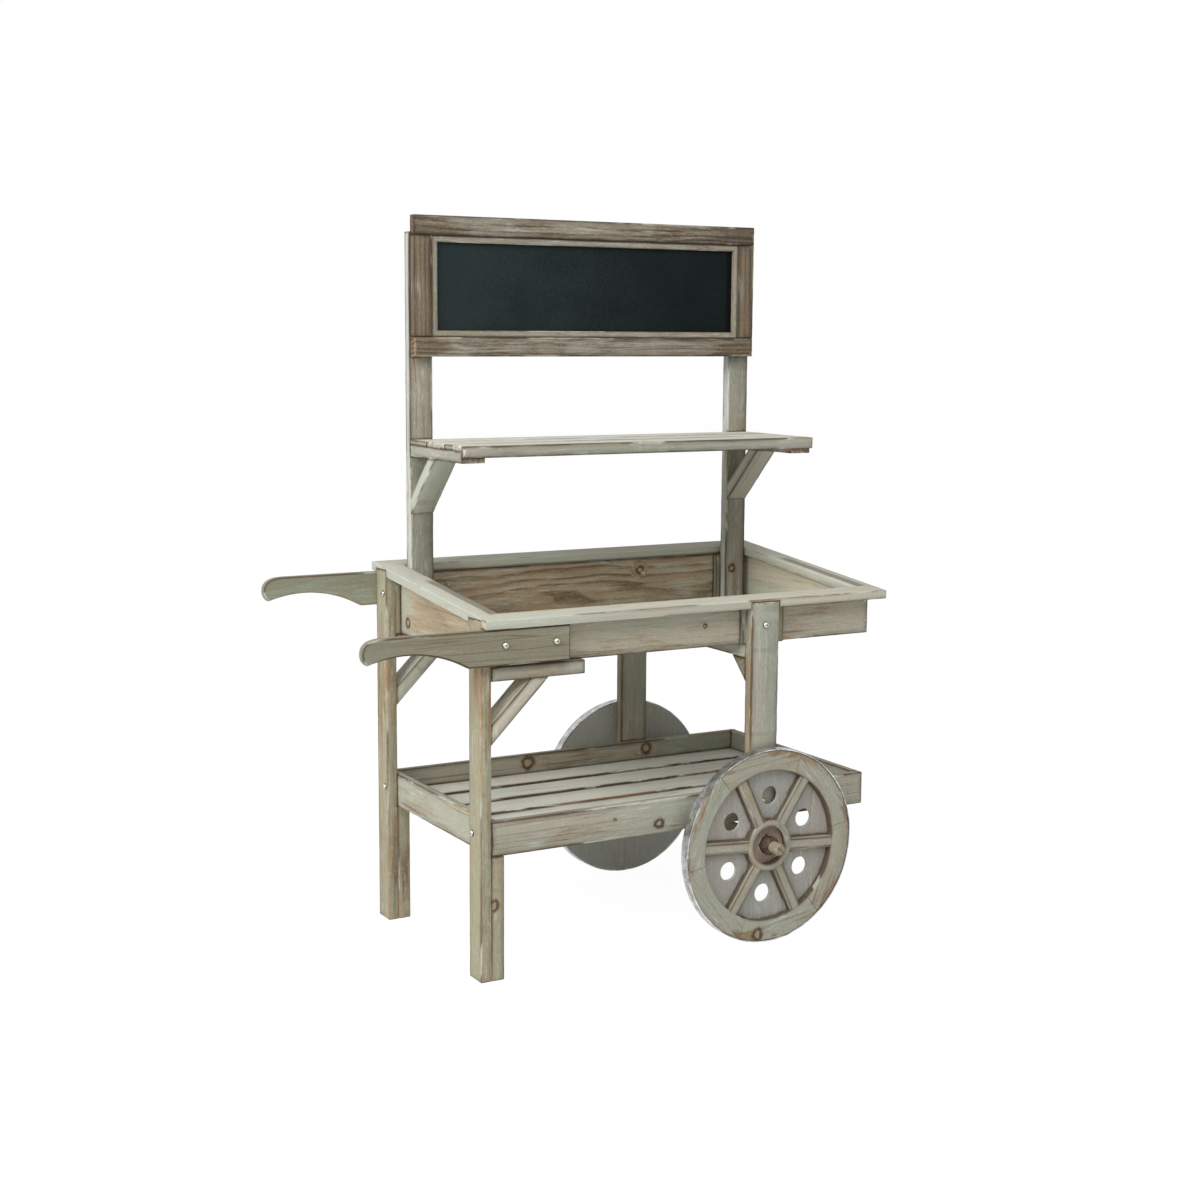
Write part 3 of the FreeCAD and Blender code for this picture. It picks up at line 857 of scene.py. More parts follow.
class Bench:
    """Modelling steps shared by all pieces."""

    @staticmethod
    def clear() -> None:
        """Select nothing."""
        bpy.ops.object.select_all(action="DESELECT")

    @staticmethod
    def only(piece: Piece) -> None:
        """Select one piece and make it active."""
        Bench.clear()
        piece.select_set(True)
        bpy.context.view_layer.objects.active = piece

    @staticmethod
    def settle(name: str) -> Piece:
        """Name the active piece and put its place and size into its mesh."""
        piece = bpy.context.active_object
        piece.name = name
        piece.data.name = name
        bpy.ops.object.transform_apply(location=True, rotation=True, scale=True)
        return piece

    @staticmethod
    def block(name: str, low: Vector, high: Vector) -> Piece:
        """Rough block between two corners.

        Args:
            name: the piece's name.
            low: lowest corner.
            high: highest corner.

        Returns:
            The piece.
        """
        Bench.clear()
        bpy.ops.mesh.primitive_cube_add(size=1.0, location=(low + high) / 2)
        bpy.context.active_object.scale = high - low
        return Bench.settle(name)

    @staticmethod
    @contextmanager
    def editing(piece: Piece) -> Iterator[None]:
        """Edit one piece's mesh with everything selected."""
        Bench.only(piece)
        bpy.ops.object.mode_set(mode="EDIT")
        bpy.ops.mesh.select_all(action="SELECT")
        yield
        bpy.ops.object.mode_set(mode="OBJECT")

    @staticmethod
    @contextmanager
    def picking(piece: Piece, kind: str, wanted: Iterable[int]) -> Iterator[None]:
        """Edit one piece's mesh with some of its points or edges selected.

        Args:
            piece: the piece.
            kind: VERT for points, EDGE for edges.
            wanted: their numbers in the mesh.
        """
        Bench.only(piece)
        bpy.ops.object.mode_set(mode="EDIT")
        bpy.ops.mesh.select_mode(type=kind)
        bpy.ops.mesh.select_all(action="DESELECT")
        bpy.ops.object.mode_set(mode="OBJECT")
        members = piece.data.edges if kind == "EDGE" else piece.data.vertices
        for index in wanted:
            members[index].select = True
        bpy.ops.object.mode_set(mode="EDIT")
        yield
        bpy.ops.object.mode_set(mode="OBJECT")

    @staticmethod
    def points(piece: Piece, test: Callable[[Vector], bool]) -> list[int]:
        """Numbers of the points that pass a test."""
        return [vertex.index for vertex in piece.data.vertices if test(vertex.co)]

    @staticmethod
    def saw(piece: Piece, cuts: Iterable[Cut]) -> None:
        """Cut a piece along planes and close it again."""
        with Bench.editing(piece):
            for cut in cuts:
                bpy.ops.mesh.select_all(action="SELECT")
                bpy.ops.mesh.bisect(plane_co=cut.point, plane_no=cut.normal, use_fill=True, clear_outer=True)

    @staticmethod
    def bevel(piece: Piece, edges: Iterable[int], size: float, steps: int = 2) -> None:
        """Take off some arrises."""
        with Bench.picking(piece, "EDGE", edges):
            bpy.ops.mesh.bevel(offset=size, segments=steps, profile=0.55, affect="EDGES", clamp_overlap=True)

    @staticmethod
    def notch(piece: Piece, low: Vector, high: Vector) -> None:
        """Cut a block-shaped notch out of a piece."""
        cutter = Bench.block("cutter", low, high)
        Bench.only(piece)
        cut = piece.modifiers.new("notch", "BOOLEAN")
        cut.operation = "DIFFERENCE"
        cut.solver = "EXACT"
        cut.object = cutter
        bpy.ops.object.modifier_apply(modifier=cut.name)
        Bench.discard(cutter)

    @staticmethod
    def discard(piece: Piece) -> None:
        """Remove a piece and its mesh."""
        mesh = piece.data
        bpy.data.objects.remove(piece)
        bpy.data.meshes.remove(mesh)

    @staticmethod
    def smooth(piece: Piece, degrees: float = 40.0) -> None:
        """Shade a piece smooth except at sharp edges."""
        Bench.only(piece)
        bpy.ops.object.shade_smooth_by_angle(angle=math.radians(degrees))

    @staticmethod
    def close(piece: Piece) -> None:
        """Merge doubled points and turn all faces outwards."""
        with Bench.editing(piece):
            bpy.ops.mesh.remove_doubles(threshold=0.01 * MM)
            bpy.ops.mesh.normals_make_consistent(inside=False)

    @staticmethod
    def join(name: str, pieces: Sequence[Piece]) -> Piece:
        """Join pieces into one object."""
        Bench.clear()
        for piece in pieces:
            piece.select_set(True)
        bpy.context.view_layer.objects.active = pieces[0]
        bpy.ops.object.join()
        pieces[0].name = name
        pieces[0].data.name = name
        return pieces[0]

    @staticmethod
    def copy(piece: Piece, matrix: Matrix) -> Piece:
        """Copy a piece with its own mesh, moved by a matrix."""
        twin = piece.copy()
        twin.data = piece.data.copy()
        bpy.context.scene.collection.objects.link(twin)
        twin.data.transform(matrix)
        return twin

    @staticmethod
    def coat(piece: Piece, material: Finish) -> None:
        """Give a piece one material."""
        piece.data.materials.clear()
        piece.data.materials.append(material)

    @staticmethod
    def seat(piece: Piece, body: str, slot: str, *nodes: str) -> Piece:
        """Let a piece ride on a body and stand for its nodes.

        Args:
            piece: the finished piece.
            body: the body it moves with.
            slot: not used.
            nodes: the frame's nodes that it replaces.

        Returns:
            The piece.
        """
        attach(piece, body)
        if nodes:
            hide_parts(*nodes)
        LOG.info("made %s on %s", piece.name, body)
        return piece


def solids(node: str) -> list[tuple[Vector, Vector]]:
    """Boxes of the separate solids in one node of the frame.

    Args:
        node: the node's name.

    Returns:
        Lowest and highest corner of each solid, in order along the frame's axes.
    """
    mesh = frame["nodes"][node].data
    owner: dict[tuple[int, ...], tuple[int, ...]] = {}

    def head(key: tuple[int, ...]) -> tuple[int, ...]:
        """Follow the links to a solid's first point."""
        while owner[key] != key:
            owner[key] = owner[owner[key]]
            key = owner[key]
        return key

    keys = [tuple(round(c / (0.01 * MM)) for c in v.co) for v in mesh.vertices]
    for key in keys:
        owner.setdefault(key, key)
    for face in mesh.polygons:
        first = head(keys[face.vertices[0]])
        for index in face.vertices[1:]:
            owner[head(keys[index])] = first
    groups: dict[tuple[int, ...], list[Vector]] = {}
    for vertex, key in zip(mesh.vertices, keys):
        groups.setdefault(head(key), []).append(vertex.co)
    boxes = []
    for points in groups.values():
        low = Vector([min(p[i] for p in points) for i in range(3)])
        high = Vector([max(p[i] for p in points) for i in range(3)])
        boxes.append((low, high))
    return sorted(boxes, key=lambda b: tuple(b[0]))


@lru_cache(maxsize=None)
def upright_boxes() -> dict[str, tuple[Neighbour, ...]]:
    """Boxes of all square-cut solids on the cart, by node."""
    skewed = ("rim", "brace", "handle", "wheel", "axle", "bolt", "nut", "bead", "block")
    names = [node for node in frame["nodes"] if not any(word in node for word in skewed)]
    return {node: tuple(Neighbour(*box) for box in solids(node)) for node in names}


@dataclass
class Plank:
    """A sawn board with eased, knocked arrises."""

    name: str
    node: str
    low: Vector
    high: Vector
    timber: Timber = WASHED
    along: Vector | None = None
    cuts: tuple[Cut, ...] = ()
    notches: tuple[tuple[Vector, Vector], ...] = ()
    slabs: tuple[Slab, ...] = ()
    knots: tuple[Knot, ...] = ()
    bare_side: Vector | None = None
    dirty_side: Vector | None = None
    pale_side: Vector | None = None
    ease: float = 1.5 * MM
    chips: float = 0.6 * MM
    step: float = 7.0 * MM
    most_steps: int = 140

    def __post_init__(self) -> None:
        """Take the grain along the longest side unless it is given."""
        size = self.high - self.low
        if self.along is None:
            longest = max(range(3), key=lambda i: size[i])
            self.along = (X_AXIS, Y_AXIS, Z_AXIS)[longest]
        if not self.slabs:
            self.slabs = box_slabs(self.low, self.high)

    def build(self) -> Piece:
        """Saw the board, ease its arrises, knock them about and dress it.

        Returns:
            The finished piece.
        """
        piece = Bench.block(self.name, self.low, self.high)
        Bench.saw(piece, self.cuts)
        for low, high in self.notches:
            Bench.notch(piece, low, high)
        joints = [cut for cut in self.cuts if cut.joint]
        eased = []
        for edge in piece.data.edges:
            ends = [piece.data.vertices[i].co for i in edge.vertices]
            if not any(cut.holds(ends[0]) and cut.holds(ends[1]) for cut in joints):
                eased.append(edge.index)
        Bench.bevel(piece, eased, self.ease)
        self.divide(piece)
        self.knock(piece)
        Bench.smooth(piece)
        Bench.coat(piece, self.timber.material(self.name, self.grain()))
        return Bench.seat(piece, CART, WOOD_SLOT, self.node)

    def grain(self) -> Grain:
        """The board's fibres, faces and knots."""
        ends = max(self.slabs, key=lambda s: abs(s.normal.dot(self.along)) * s.half)
        level = abs(ends.normal.dot(self.along)) > 0.99
        return Grain(self.along, self.name, self.slabs, ends if level else None, self.knots, self.bare_side,
                     self.dirty_side, self.pale_side, self.contacts())

    def contacts(self) -> tuple[Neighbour | Cut, ...]:
        """What stands against the board: boxes of other nodes, and the rim above it."""
        found: list[Neighbour | Cut] = [cut for cut in self.cuts if cut.shade_along]
        for node, boxes in upright_boxes().items():
            flush = "leg" in node and "leg" in self.node
            if node != self.node and not flush:
                found += [box for box in boxes if box.touches(self.low, self.high)]
        return tuple(found)

    def divide(self, piece: Piece) -> None:
        """Divide the long edges so that the arrises can be uneven."""
        mesh = piece.data
        long_edges = []
        longest = 0.0
        for edge in mesh.edges:
            run = mesh.vertices[edge.vertices[1]].co - mesh.vertices[edge.vertices[0]].co
            if run.length > 8 * self.ease and abs(run.normalized().dot(self.along.normalized())) > 0.9:
                long_edges.append(edge.index)
                longest = max(longest, run.length)
        cuts = min(int(longest / self.step), self.most_steps)
        if cuts > 0:
            with Bench.picking(piece, "EDGE", long_edges):
                bpy.ops.mesh.subdivide(number_cuts=cuts)

    def knock(self, piece: Piece) -> None:
        """Press small dents into the arrises."""
        group = piece.vertex_groups.new(name="arris")
        ridge = []
        for vertex in piece.data.vertices:
            depths = sorted(slab.depth(vertex.co) for slab in self.slabs)
            if depths[1] < 0.6 * self.ease:
                ridge.append(vertex.index)
        group.add(ridge, 1.0, "REPLACE")
        Bench.only(piece)
        dents = piece.modifiers.new("dents", "DISPLACE")
        dents.texture = dent_texture()
        dents.texture_coords = "LOCAL"
        dents.vertex_group = group.name
        dents.mid_level = 0.0
        dents.strength = -self.chips
        bpy.ops.object.modifier_apply(modifier=dents.name)
        piece.vertex_groups.clear()


def dent_texture() -> bpy.types.Texture:
    """Cloud pattern that the dents follow, made once."""
    made = bpy.data.textures.get("dents")
    if made is None:
        made = bpy.data.textures.new("dents", "CLOUDS")
        made.noise_scale = 22 * MM
        made.noise_depth = 3
        made.contrast = 2.2
        made.intensity = 0.85
    return made


@dataclass
class RimPlane:
    """The rim's two sloping planes, which other boards are cut to."""

    thickness: float = RIM_THICKNESS

    def __post_init__(self) -> None:
        """Read the rim's slope from its end board."""
        self.low, self.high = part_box("rim_left")
        rise = self.high.z - self.low.z - self.thickness
        self.slope = rise / (self.high.y - self.low.y)
        self.normal = Vector((0, -self.slope, 1)).normalized()

    def under(self) -> Cut:
        """Cut along the rim's underside."""
        return Cut(Vector((0, self.low.y, self.low.z)), self.normal, shade_along=True)

    def over(self) -> Cut:
        """Cut along the rim's top."""
        return Cut(Vector((0, self.high.y, self.high.z)), self.normal)

    def rim_slab(self) -> Slab:
        """The rim's two sloping faces."""
        low = self.normal.dot(self.under().point)
        high = self.normal.dot(self.over().point)
        return Slab(self.normal, (low + high) / 2, (high - low) / 2)


# Knots by board: place from the board's lowest corner, and radius, in millimetres
KNOTS = {
    "front_left_leg_doubler": (((4, 0, 132), 9),),
    "back_left_leg_doubler": (((4, 45, 132), 9),),
    "tray_front_board": (((416, 0, 38), 3.5),),
    "tray_back_board": (((521, 0, 86), 7),),
    "tray_left_end": (((0, 335, 24), 8),),
    "lower_front_board": (((329, 0, 17), 8), ((239, 0, 35), 2.5)),
    "lower_back_board": (((288, 0, 44), 11), ((556, 0, 45), 10)),
    "left_post": (((15, 0, 71), 7),),
    "right_post": (((15, 0, 71), 7),),
}


def plank(node: str, **fields: Any) -> Piece:
    """Build the board that stands for a whole node.

    Args:
        node: the node's name.
        fields: further fields of the plank.

    Returns:
        The piece.
    """
    low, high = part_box(node)
    knots = tuple(Knot(low + Vector(place) * MM, radius * MM) for place, radius in KNOTS.get(node, ()))
    return Plank(node + "_board", node, low, high, knots=knots, **fields).build()


def planks(node: str, **fields: Any) -> list[Piece]:
    """Build one board for each solid of a node.

    Args:
        node: the node's name.
        fields: further fields of the planks.

    Returns:
        The pieces.
    """
    made = []
    for i, (low, high) in enumerate(solids(node)):
        made.append(Plank(f"{node}_{i + 1}", node, low, high, **fields).build())
    return made


def strut(node: str, along: Vector, downward: Vector, foot: Vector, thickness: float) -> None:
    """Build a 45 degree strut.

    Args:
        node: the node's name.
        along: the way its fibres run.
        downward: the way its lower face looks.
        foot: a point on its lower face.
        thickness: distance between its sloping faces.
    """
    down = downward.normalized()
    cuts = (Cut(foot, down), Cut(foot - down * thickness, -down))
    slope = Slab(down, down.dot(foot) - thickness / 2, thickness / 2)
    sides = [slab for slab in box_slabs(*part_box(node)) if slab.normal.dot(along) == 0]
    plank(node, along=along, cuts=cuts, slabs=(slope, *sides), timber=STRUT_WASHED)


@dataclass
class LeftEnd:
    """Plain legs with their doublers, bearers and struts."""

    strut_thickness: float = 24 * MM

    def build(self) -> None:
        """Build both sides."""
        for side in Side:
            leg = side.word + "_left_"
            plank(leg + "leg", timber=LEG_WASHED)
            plank(leg + "leg_doubler", timber=LEG_WASHED)
            plank(leg + "bearer", timber=TAN_WASHED)
            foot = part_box(leg + "brace")[0]
            strut(leg + "brace", X_AXIS + Z_AXIS, X_AXIS - Z_AXIS, foot, self.strut_thickness)


@dataclass
class WheelEnd:
    """Wide legs over the axle, their bearer and corner blocks."""

    rim: RimPlane

    def build(self) -> None:
        """Build the legs, the bearer, the blocks and all the spacers."""
        for side in Side:
            # The right legs' left faces get less wash and go darker: painted shade under the tray.
            plank(side.word + "_right_leg", timber=PALE_WASHED, bare_side=-X_AXIS)
        plank("cross_bearer")
        planks("leg_packers", along=Z_AXIS, cuts=(self.rim.under(),), timber=GREY_WASHED)
        for i, (low, high) in enumerate(solids("corner_blocks")):
            self.block(i, low, high)

    def block(self, index: int, low: Vector, high: Vector) -> None:
        """Triangular block under the bearer's end."""
        outer = low.y if index == 0 else high.y
        inward = Vector((0, 1 if index == 0 else -1, -1)).normalized()
        cut = Cut(Vector((low.x, outer, low.z)), inward)
        Plank(f"corner_block_{index + 1}", "corner_blocks", low, high, cuts=(cut,), along=X_AXIS,
              timber=GREY_WASHED).build()


@dataclass
class UpperTray:
    """Boards, floor and mitred rim of the upper tray."""

    rim: RimPlane
    notch_slack: float = 1.2 * MM
    rim_ease: float = 2.0 * MM

    def build(self) -> None:
        """Build the box, then the rim on top of it."""
        under = (self.rim.under(),)
        plank("tray_front_board", cuts=under, timber=TRAY_WASHED, bare_side=Y_AXIS)
        plank("tray_back_board", cuts=under, timber=INNER_WASHED, bare_side=-Y_AXIS)
        plank("tray_left_end", cuts=under, timber=TAN_WASHED)
        plank("tray_right_end", cuts=under, timber=LIT_WASHED)
        planks("tray_floor_boards", timber=TRAY_WASHED)
        planks("handle_packers", along=X_AXIS, cuts=under, timber=GREY_WASHED)
        self.rim_board("rim_front", Y_AXIS, ("front_right_leg",))
        self.rim_board("rim_back", Y_AXIS, ("back_right_leg",))
        self.rim_board("rim_left", X_AXIS, ("front_left_leg", "back_left_leg"))
        self.rim_board("rim_right", X_AXIS, ())

    def rim_board(self, node: str, width_axis: Vector, legs: tuple[str, ...]) -> None:
        """One rim board: sloped, mitred at both ends, notched for the legs.

        Args:
            node: the rim board's node.
            width_axis: the axis across the board.
            legs: nodes of the legs that are let into it.
        """
        low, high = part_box(node)
        cuts = [Cut(self.rim.under().point, -self.rim.normal), self.rim.over()]
        cuts += self.mitres(node, low, high)
        width = box_slabs(low, high)[0 if width_axis == X_AXIS else 1]
        length = box_slabs(low, high)[1 if width_axis == X_AXIS else 0]
        notches = []
        slack = Vector((1, 1, 1)) * self.notch_slack
        for leg in legs:
            leg_low, leg_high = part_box(leg)
            notches.append((leg_low - slack, leg_high + slack))
        plank(node, cuts=tuple(cuts), slabs=(self.rim.rim_slab(), width), notches=tuple(notches),
              along=length.normal, timber=RIM_WASHED, ease=self.rim_ease)

    def mitres(self, node: str, low: Vector, high: Vector) -> list[Cut]:
        """The two 45 degree corner cuts of a rim board."""
        cuts = []
        for sx in (-1, 1):
            for sy in (-1, 1):
                corner = Vector((self.rim.low.x if sx < 0 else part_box("rim_right")[1].x,
                                 self.rim.low.y if sy < 0 else self.rim.high.y, 0))
                inside = corner.x >= low.x - MM and corner.x <= high.x + MM
                inside = inside and corner.y >= low.y - MM and corner.y <= high.y + MM
                if not inside:
                    continue
                outward = Vector((sx, -sy, 0)) if node in ("rim_front", "rim_back") else Vector((-sx, sy, 0))
                cuts.append(Cut(corner, outward.normalized(), joint=True))
        return cuts


@dataclass
class LowerTray:
    """Shallow slatted tray between the legs."""

    def build(self) -> None:
        """Build the boards and slats."""
        plank("lower_front_board", timber=PALE_WASHED)
        plank("lower_back_board", timber=PALE_WASHED)
        plank("lower_left_end")
        plank("lower_right_end")
        # The slats' side faces are painted dark: painted shade in the gaps between them.
        planks("lower_slats", timber=FLOOR_WASHED_AND_LIT, dirty_side=Y_AXIS)


@dataclass
class BackFrame:
    """Posts, shelf and framed writing panel."""

    rim: RimPlane
    strut_thickness: float = 22 * MM
    bead_width: float = 12 * MM
    bead_ease: float = 1.2 * MM

    def build(self) -> None:
        """Build from the posts up."""
        for word in ("left", "right"):
            # Left faces come out lighter: painted light from the lamp on the left.
            plank(word + "_post", timber=POST_WASHED, pale_side=-X_AXIS)
            plank(word + "_shelf_arm", timber=PALE_WASHED)
            low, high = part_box(word + "_shelf_brace")
            foot = Vector((low.x, high.y, low.z))
            strut(word + "_shelf_brace", Z_AXIS - Y_AXIS, -Z_AXIS - Y_AXIS, foot, self.strut_thickness)
        planks("post_packers", along=Z_AXIS, cuts=(self.rim.under(),), timber=GREY_WASHED)
        # The slats' side faces are painted dark: painted shade in the gaps between them.
        planks("shelf_slats", timber=SLAT_WASHED, dirty_side=Y_AXIS)
        plank("shelf_fascia", timber=PALE_WASHED)
        # The panel frame's left faces come out lighter too: painted light.
        for word in ("top_rail", "bottom_rail"):
            plank("board_" + word, timber=BROWN_WASHED, pale_side=-X_AXIS)
        for word in ("left_stile", "right_stile"):
            plank("board_" + word, timber=STILE_WASHED, pale_side=-X_AXIS)
        self.bead()
        Bench.coat(frame["nodes"]["chalk_panel"], SlatePaint().material())

    def bead(self) -> None:
        """Thin strips round the panel, mitred at the corners."""
        low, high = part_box("board_bead")
        for word, axis, sign in (("bottom", 2, -1), ("top", 2, 1), ("left", 0, -1), ("right", 0, 1)):
            across = 2 - axis
            ends = [low.copy(), high.copy()]
            outer = low if sign < 0 else high
            ends[1 if sign < 0 else 0][axis] = outer[axis] - sign * self.bead_width
            cuts = []
            for corner, way in ((low.copy(), -1), (low.copy(), 1)):
                corner[axis] = outer[axis]
                corner[across] = low[across] if way < 0 else high[across]
                normal = Vector()
                normal[across] = way
                normal[axis] = -sign
                cuts.append(Cut(corner, normal, joint=True))
            Plank("bead_" + word, "board_bead", *ends, cuts=tuple(cuts), timber=BEAD_WASHED,
                  ease=self.bead_ease).build()


@dataclass
class Handles:
    """Shaped handles on the left; their flat faces count as lying some way from the worn chamfers."""

    flat_depth: float = 6 * MM

    def build(self) -> None:
        """Dress both handles."""
        for side in Side:
            node = side.word + "_handle"
            Bench.coat(frame["nodes"][node], self.finish(node))

    def finish(self, node: str) -> Finish:
        """Grey wash, worn along the sloping chamfers of the outline."""
        low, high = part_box(node)
        kit = Kit.fresh(node)
        grain = Grain(X_AXIS, node)
        tilt = abs(kit.facing(Y_AXIS))
        chamfer = tilt.ease(0.2, 0.4) - tilt.ease(0.8, 0.95)
        ends = box_slabs(low, high)[0].depth_value(kit, kit.place())
        marks = Marks(arris=(1.0 - chamfer) * self.flat_depth, ends=ends)
        return GREY_WASHED.coat(kit, grain.turned(kit), grain.pith(), marks)


@dataclass
class Wheel:
    """Built-up wheel on one side of the cart: disc, felloes, spokes, hub ring and hoop."""

    side: Side
    felloe_count: int = 6
    felloe_turn: float = 12.0
    wheel_turn: float = -4.0
    joint_gap: float = 0.9 * MM
    felloe_inner_ease: float = 4.5 * MM
    felloe_outer_ease: float = 2.5 * MM
    spoke_width: float = 25 * MM
    spoke_chamfer: float = 4.5 * MM
    spoke_drop: float = 2.5 * MM
    spoke_flare: float = 14 * MM
    ring_width: float = 13 * MM
    ring_drop: float = 0.5 * MM
    ring_round: float = 0.46
    felloe_steps: int = 26
    ring_steps: int = 72
    corner_steps: int = 5
    flare_cuts: tuple[float, ...] = (0.0, 0.3)
    flare_widths: tuple[tuple[float, float], ...] = ((0.2, 1.10), (0.5, 1.25))
    inner_painted_light: float = 0.75
    inner_depth: float = 50 * MM
    shift_along: float = 0.73
    shift_across: float = 1.37
    pith: tuple[float, float] = (50 * MM, 30 * MM)
    rubbed_width: float = 22 * MM
    knot_left: float = 26 * MM
    knot_up: float = 14 * MM
    knot_radius: float = 10 * MM

    def __post_init__(self) -> None:
        """Read the wheel's sizes from the frame."""
        self.body = self.side.word + "_wheel"
        self.centre = sum(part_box(self.body + "_hoop"), Vector()) / 2
        self.base, self.top = sorted((corner.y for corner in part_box(self.body + "_hub_ring")), key=abs)
        self.ring_r = self.radius("_hub_ring")
        self.felloe_r = self.radius("_spokes")
        self.disc_r = self.radius("_disc")
        self.step = FULL_TURN / self.felloe_count
        self.hand = -self.side.value
        self.offset = math.radians(self.wheel_turn) * self.hand
        self.joint = self.offset + math.radians(self.felloe_turn) * self.hand

    def radius(self, part: str) -> float:
        """Outer radius of one of the wheel's nodes."""
        low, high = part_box(self.body + part)
        return (high.x - low.x) / 2

    def build(self) -> None:
        """Make the raised pieces and dress every layer."""
        nodes = frame["nodes"]
        Bench.coat(nodes[self.body + "_hoop"], HoopSteel().material(self.body + "_hoop", self.centre))
        Bench.coat(nodes[self.body + "_disc"], self.disc_finish())
        self.finish(self.felloes(), "_felloes")
        self.finish(self.spokes(), "_spokes")
        self.finish(self.hub_ring(), "_hub_ring")

    def finish(self, piece: Piece, part: str) -> None:
        """Smooth a raised piece, dress it and let it turn with the wheel."""
        Bench.close(piece)
        Bench.smooth(piece, 30.0)
        Bench.coat(piece, self.turned_finish(part))
        Bench.seat(piece, self.body, "turned_wood", self.body + part)

    def around(self, angle: float) -> Matrix:
        """Turn about the axle, from the right upwards."""
        there = Matrix.Translation(self.centre)
        return there @ Matrix.Rotation(-angle, 4, "Y") @ there.inverted()

    def repeat(self, name: str, one: Piece, start: float) -> Piece:
        """Set copies of one piece round the wheel and join them."""
        copies = [Bench.copy(one, self.around(start + self.step * i)) for i in range(self.felloe_count)]
        Bench.discard(one)
        return Bench.join(name, copies)

    def profile(self, inner: float, outer: float, top: float, eases: tuple[float, float]) -> Piece:
        """Cross-section of a ring, right of the axle, with its two outer corners rounded.

        Args:
            inner: inner radius.
            outer: outer radius.
            top: depth coordinate of the outer face.
            eases: rounding of the inner and outer corner.

        Returns:
            The flat piece.
        """
        Bench.clear()
        middle = Vector((self.centre.x + (inner + outer) / 2, (self.base + top) / 2, self.centre.z))
        bpy.ops.mesh.primitive_plane_add(size=1.0, location=middle)
        bpy.context.active_object.scale = (outer - inner, abs(top - self.base), 1)
        piece = Bench.settle("ring_profile")
        for ease, sign in zip(eases, (-1, 1)):
            corner = Bench.points(piece, lambda p: (p.x - middle.x) * sign > 0 and abs(p.y - top) < 0.1 * MM)
            with Bench.picking(piece, "VERT", corner):
                bpy.ops.mesh.bevel(offset=ease, segments=self.corner_steps, affect="VERTICES")
        return piece

    def spin(self, piece: Piece, angle: float, steps: int) -> None:
        """Sweep a cross-section round the axle."""
        with Bench.editing(piece):
            if angle == FULL_TURN:
                bpy.ops.mesh.delete(type="ONLY_FACE")
                bpy.ops.mesh.select_all(action="SELECT")
            bpy.ops.mesh.spin(steps=steps, angle=angle, center=self.centre, axis=-Y_AXIS)

    def felloes(self) -> Piece:
        """Curved rim blocks, a hair apart at their joints."""
        eases = (self.felloe_inner_ease, self.felloe_outer_ease)
        one = self.profile(self.felloe_r, self.disc_r, self.top, eases)
        gap = self.joint_gap / self.disc_r
        self.spin(one, self.step - gap, self.felloe_steps)
        return self.repeat(self.body + "_felloe_set", one, self.joint + gap / 2)

    def spokes(self) -> Piece:
        """Flat spokes with broad chamfers, flared where they meet the hub ring."""
        top = self.top - math.copysign(self.spoke_drop, self.top)
        depth = sorted((self.base, top))
        start = self.centre.x + self.ring_r - self.ring_width / 3
        low = Vector((start, depth[0], self.centre.z - self.spoke_width / 2))
        high = Vector((self.centre.x + self.felloe_r + MM, depth[1], self.centre.z + self.spoke_width / 2))
        one = Bench.block("spoke", low, high)
        arrises = [e.index for e in one.data.edges if self.is_long_top(one, e, top)]
        Bench.bevel(one, arrises, self.spoke_chamfer, 1)
        self.flare(one, start + self.spoke_flare)
        return self.repeat(self.body + "_spoke_set", one, self.offset)

    def is_long_top(self, piece: Piece, edge: bpy.types.MeshEdge, top: float) -> bool:
        """Whether an edge runs along the outer face of the first spoke."""
        ends = [piece.data.vertices[i].co for i in edge.vertices]
        return all(abs(p.y - top) < 0.1 * MM for p in ends) and abs(ends[0].x - ends[1].x) > self.ring_width

    def flare(self, spoke: Piece, until: float) -> None:
        """Widen the first spoke's inner end in two steps."""
        with Bench.editing(spoke):
            for share in self.flare_cuts:
                bpy.ops.mesh.select_all(action="SELECT")
                bpy.ops.mesh.bisect(plane_co=X_AXIS * (until - share * self.spoke_flare), plane_no=X_AXIS)
        for share, wider in self.flare_widths:
            inner = Bench.points(spoke, lambda p: p.x < until - share * self.spoke_flare)
            with Bench.picking(spoke, "VERT", inner):
                bpy.ops.transform.resize(value=(1, 1, wider), center_override=self.centre)

    def hub_ring(self) -> Piece:
        """Half-round ring about the hub."""
        top = self.top - math.copysign(self.ring_drop, self.top)
        inner = self.ring_r - self.ring_width
        ease = self.ring_width * self.ring_round
        ring = self.profile(inner, self.ring_r, top, (ease, ease))
        self.spin(ring, FULL_TURN, self.ring_steps)
        ring.name = self.body + "_hub_moulding"
        ring.data.name = ring.name
        return ring

    def disc_finish(self) -> Finish:
        """Plain boards behind the spokes, greyer than the rest, stained in the hub's middle, with painted
        shade in the corners by the raised pieces and painted light on the inner face.
        """
        kit = Kit.fresh(self.body + "_disc")
        grain = Grain(Z_AXIS, self.body + "_disc")
        x, _, z = kit.parts(kit.place())
        right = x - self.centre.x
        up = z - self.centre.z
        reach = (right * right + up * up).root()
        outside = kit.facing(Y_AXIS * self.side.value).ease(0.5, 0.9)
        inner = self.ring_r - self.ring_width
        marks = Marks(stained=(1.0 - reach.ease(inner - MM, inner)) * outside)
        # Painted shade in the corners by the spokes, felloes, hub ring and nut, on the outer face only.
        marks.arris = self.corner_shade_depth(right, up, reach) + (1.0 - outside) * self.inner_depth
        # Painted light: the inner face, which lies in shade, is painted lighter.
        marks.pale = (1.0 - outside) * self.inner_painted_light
        return DISC_WASHED.coat(kit, grain.turned(kit), grain.pith(), marks)

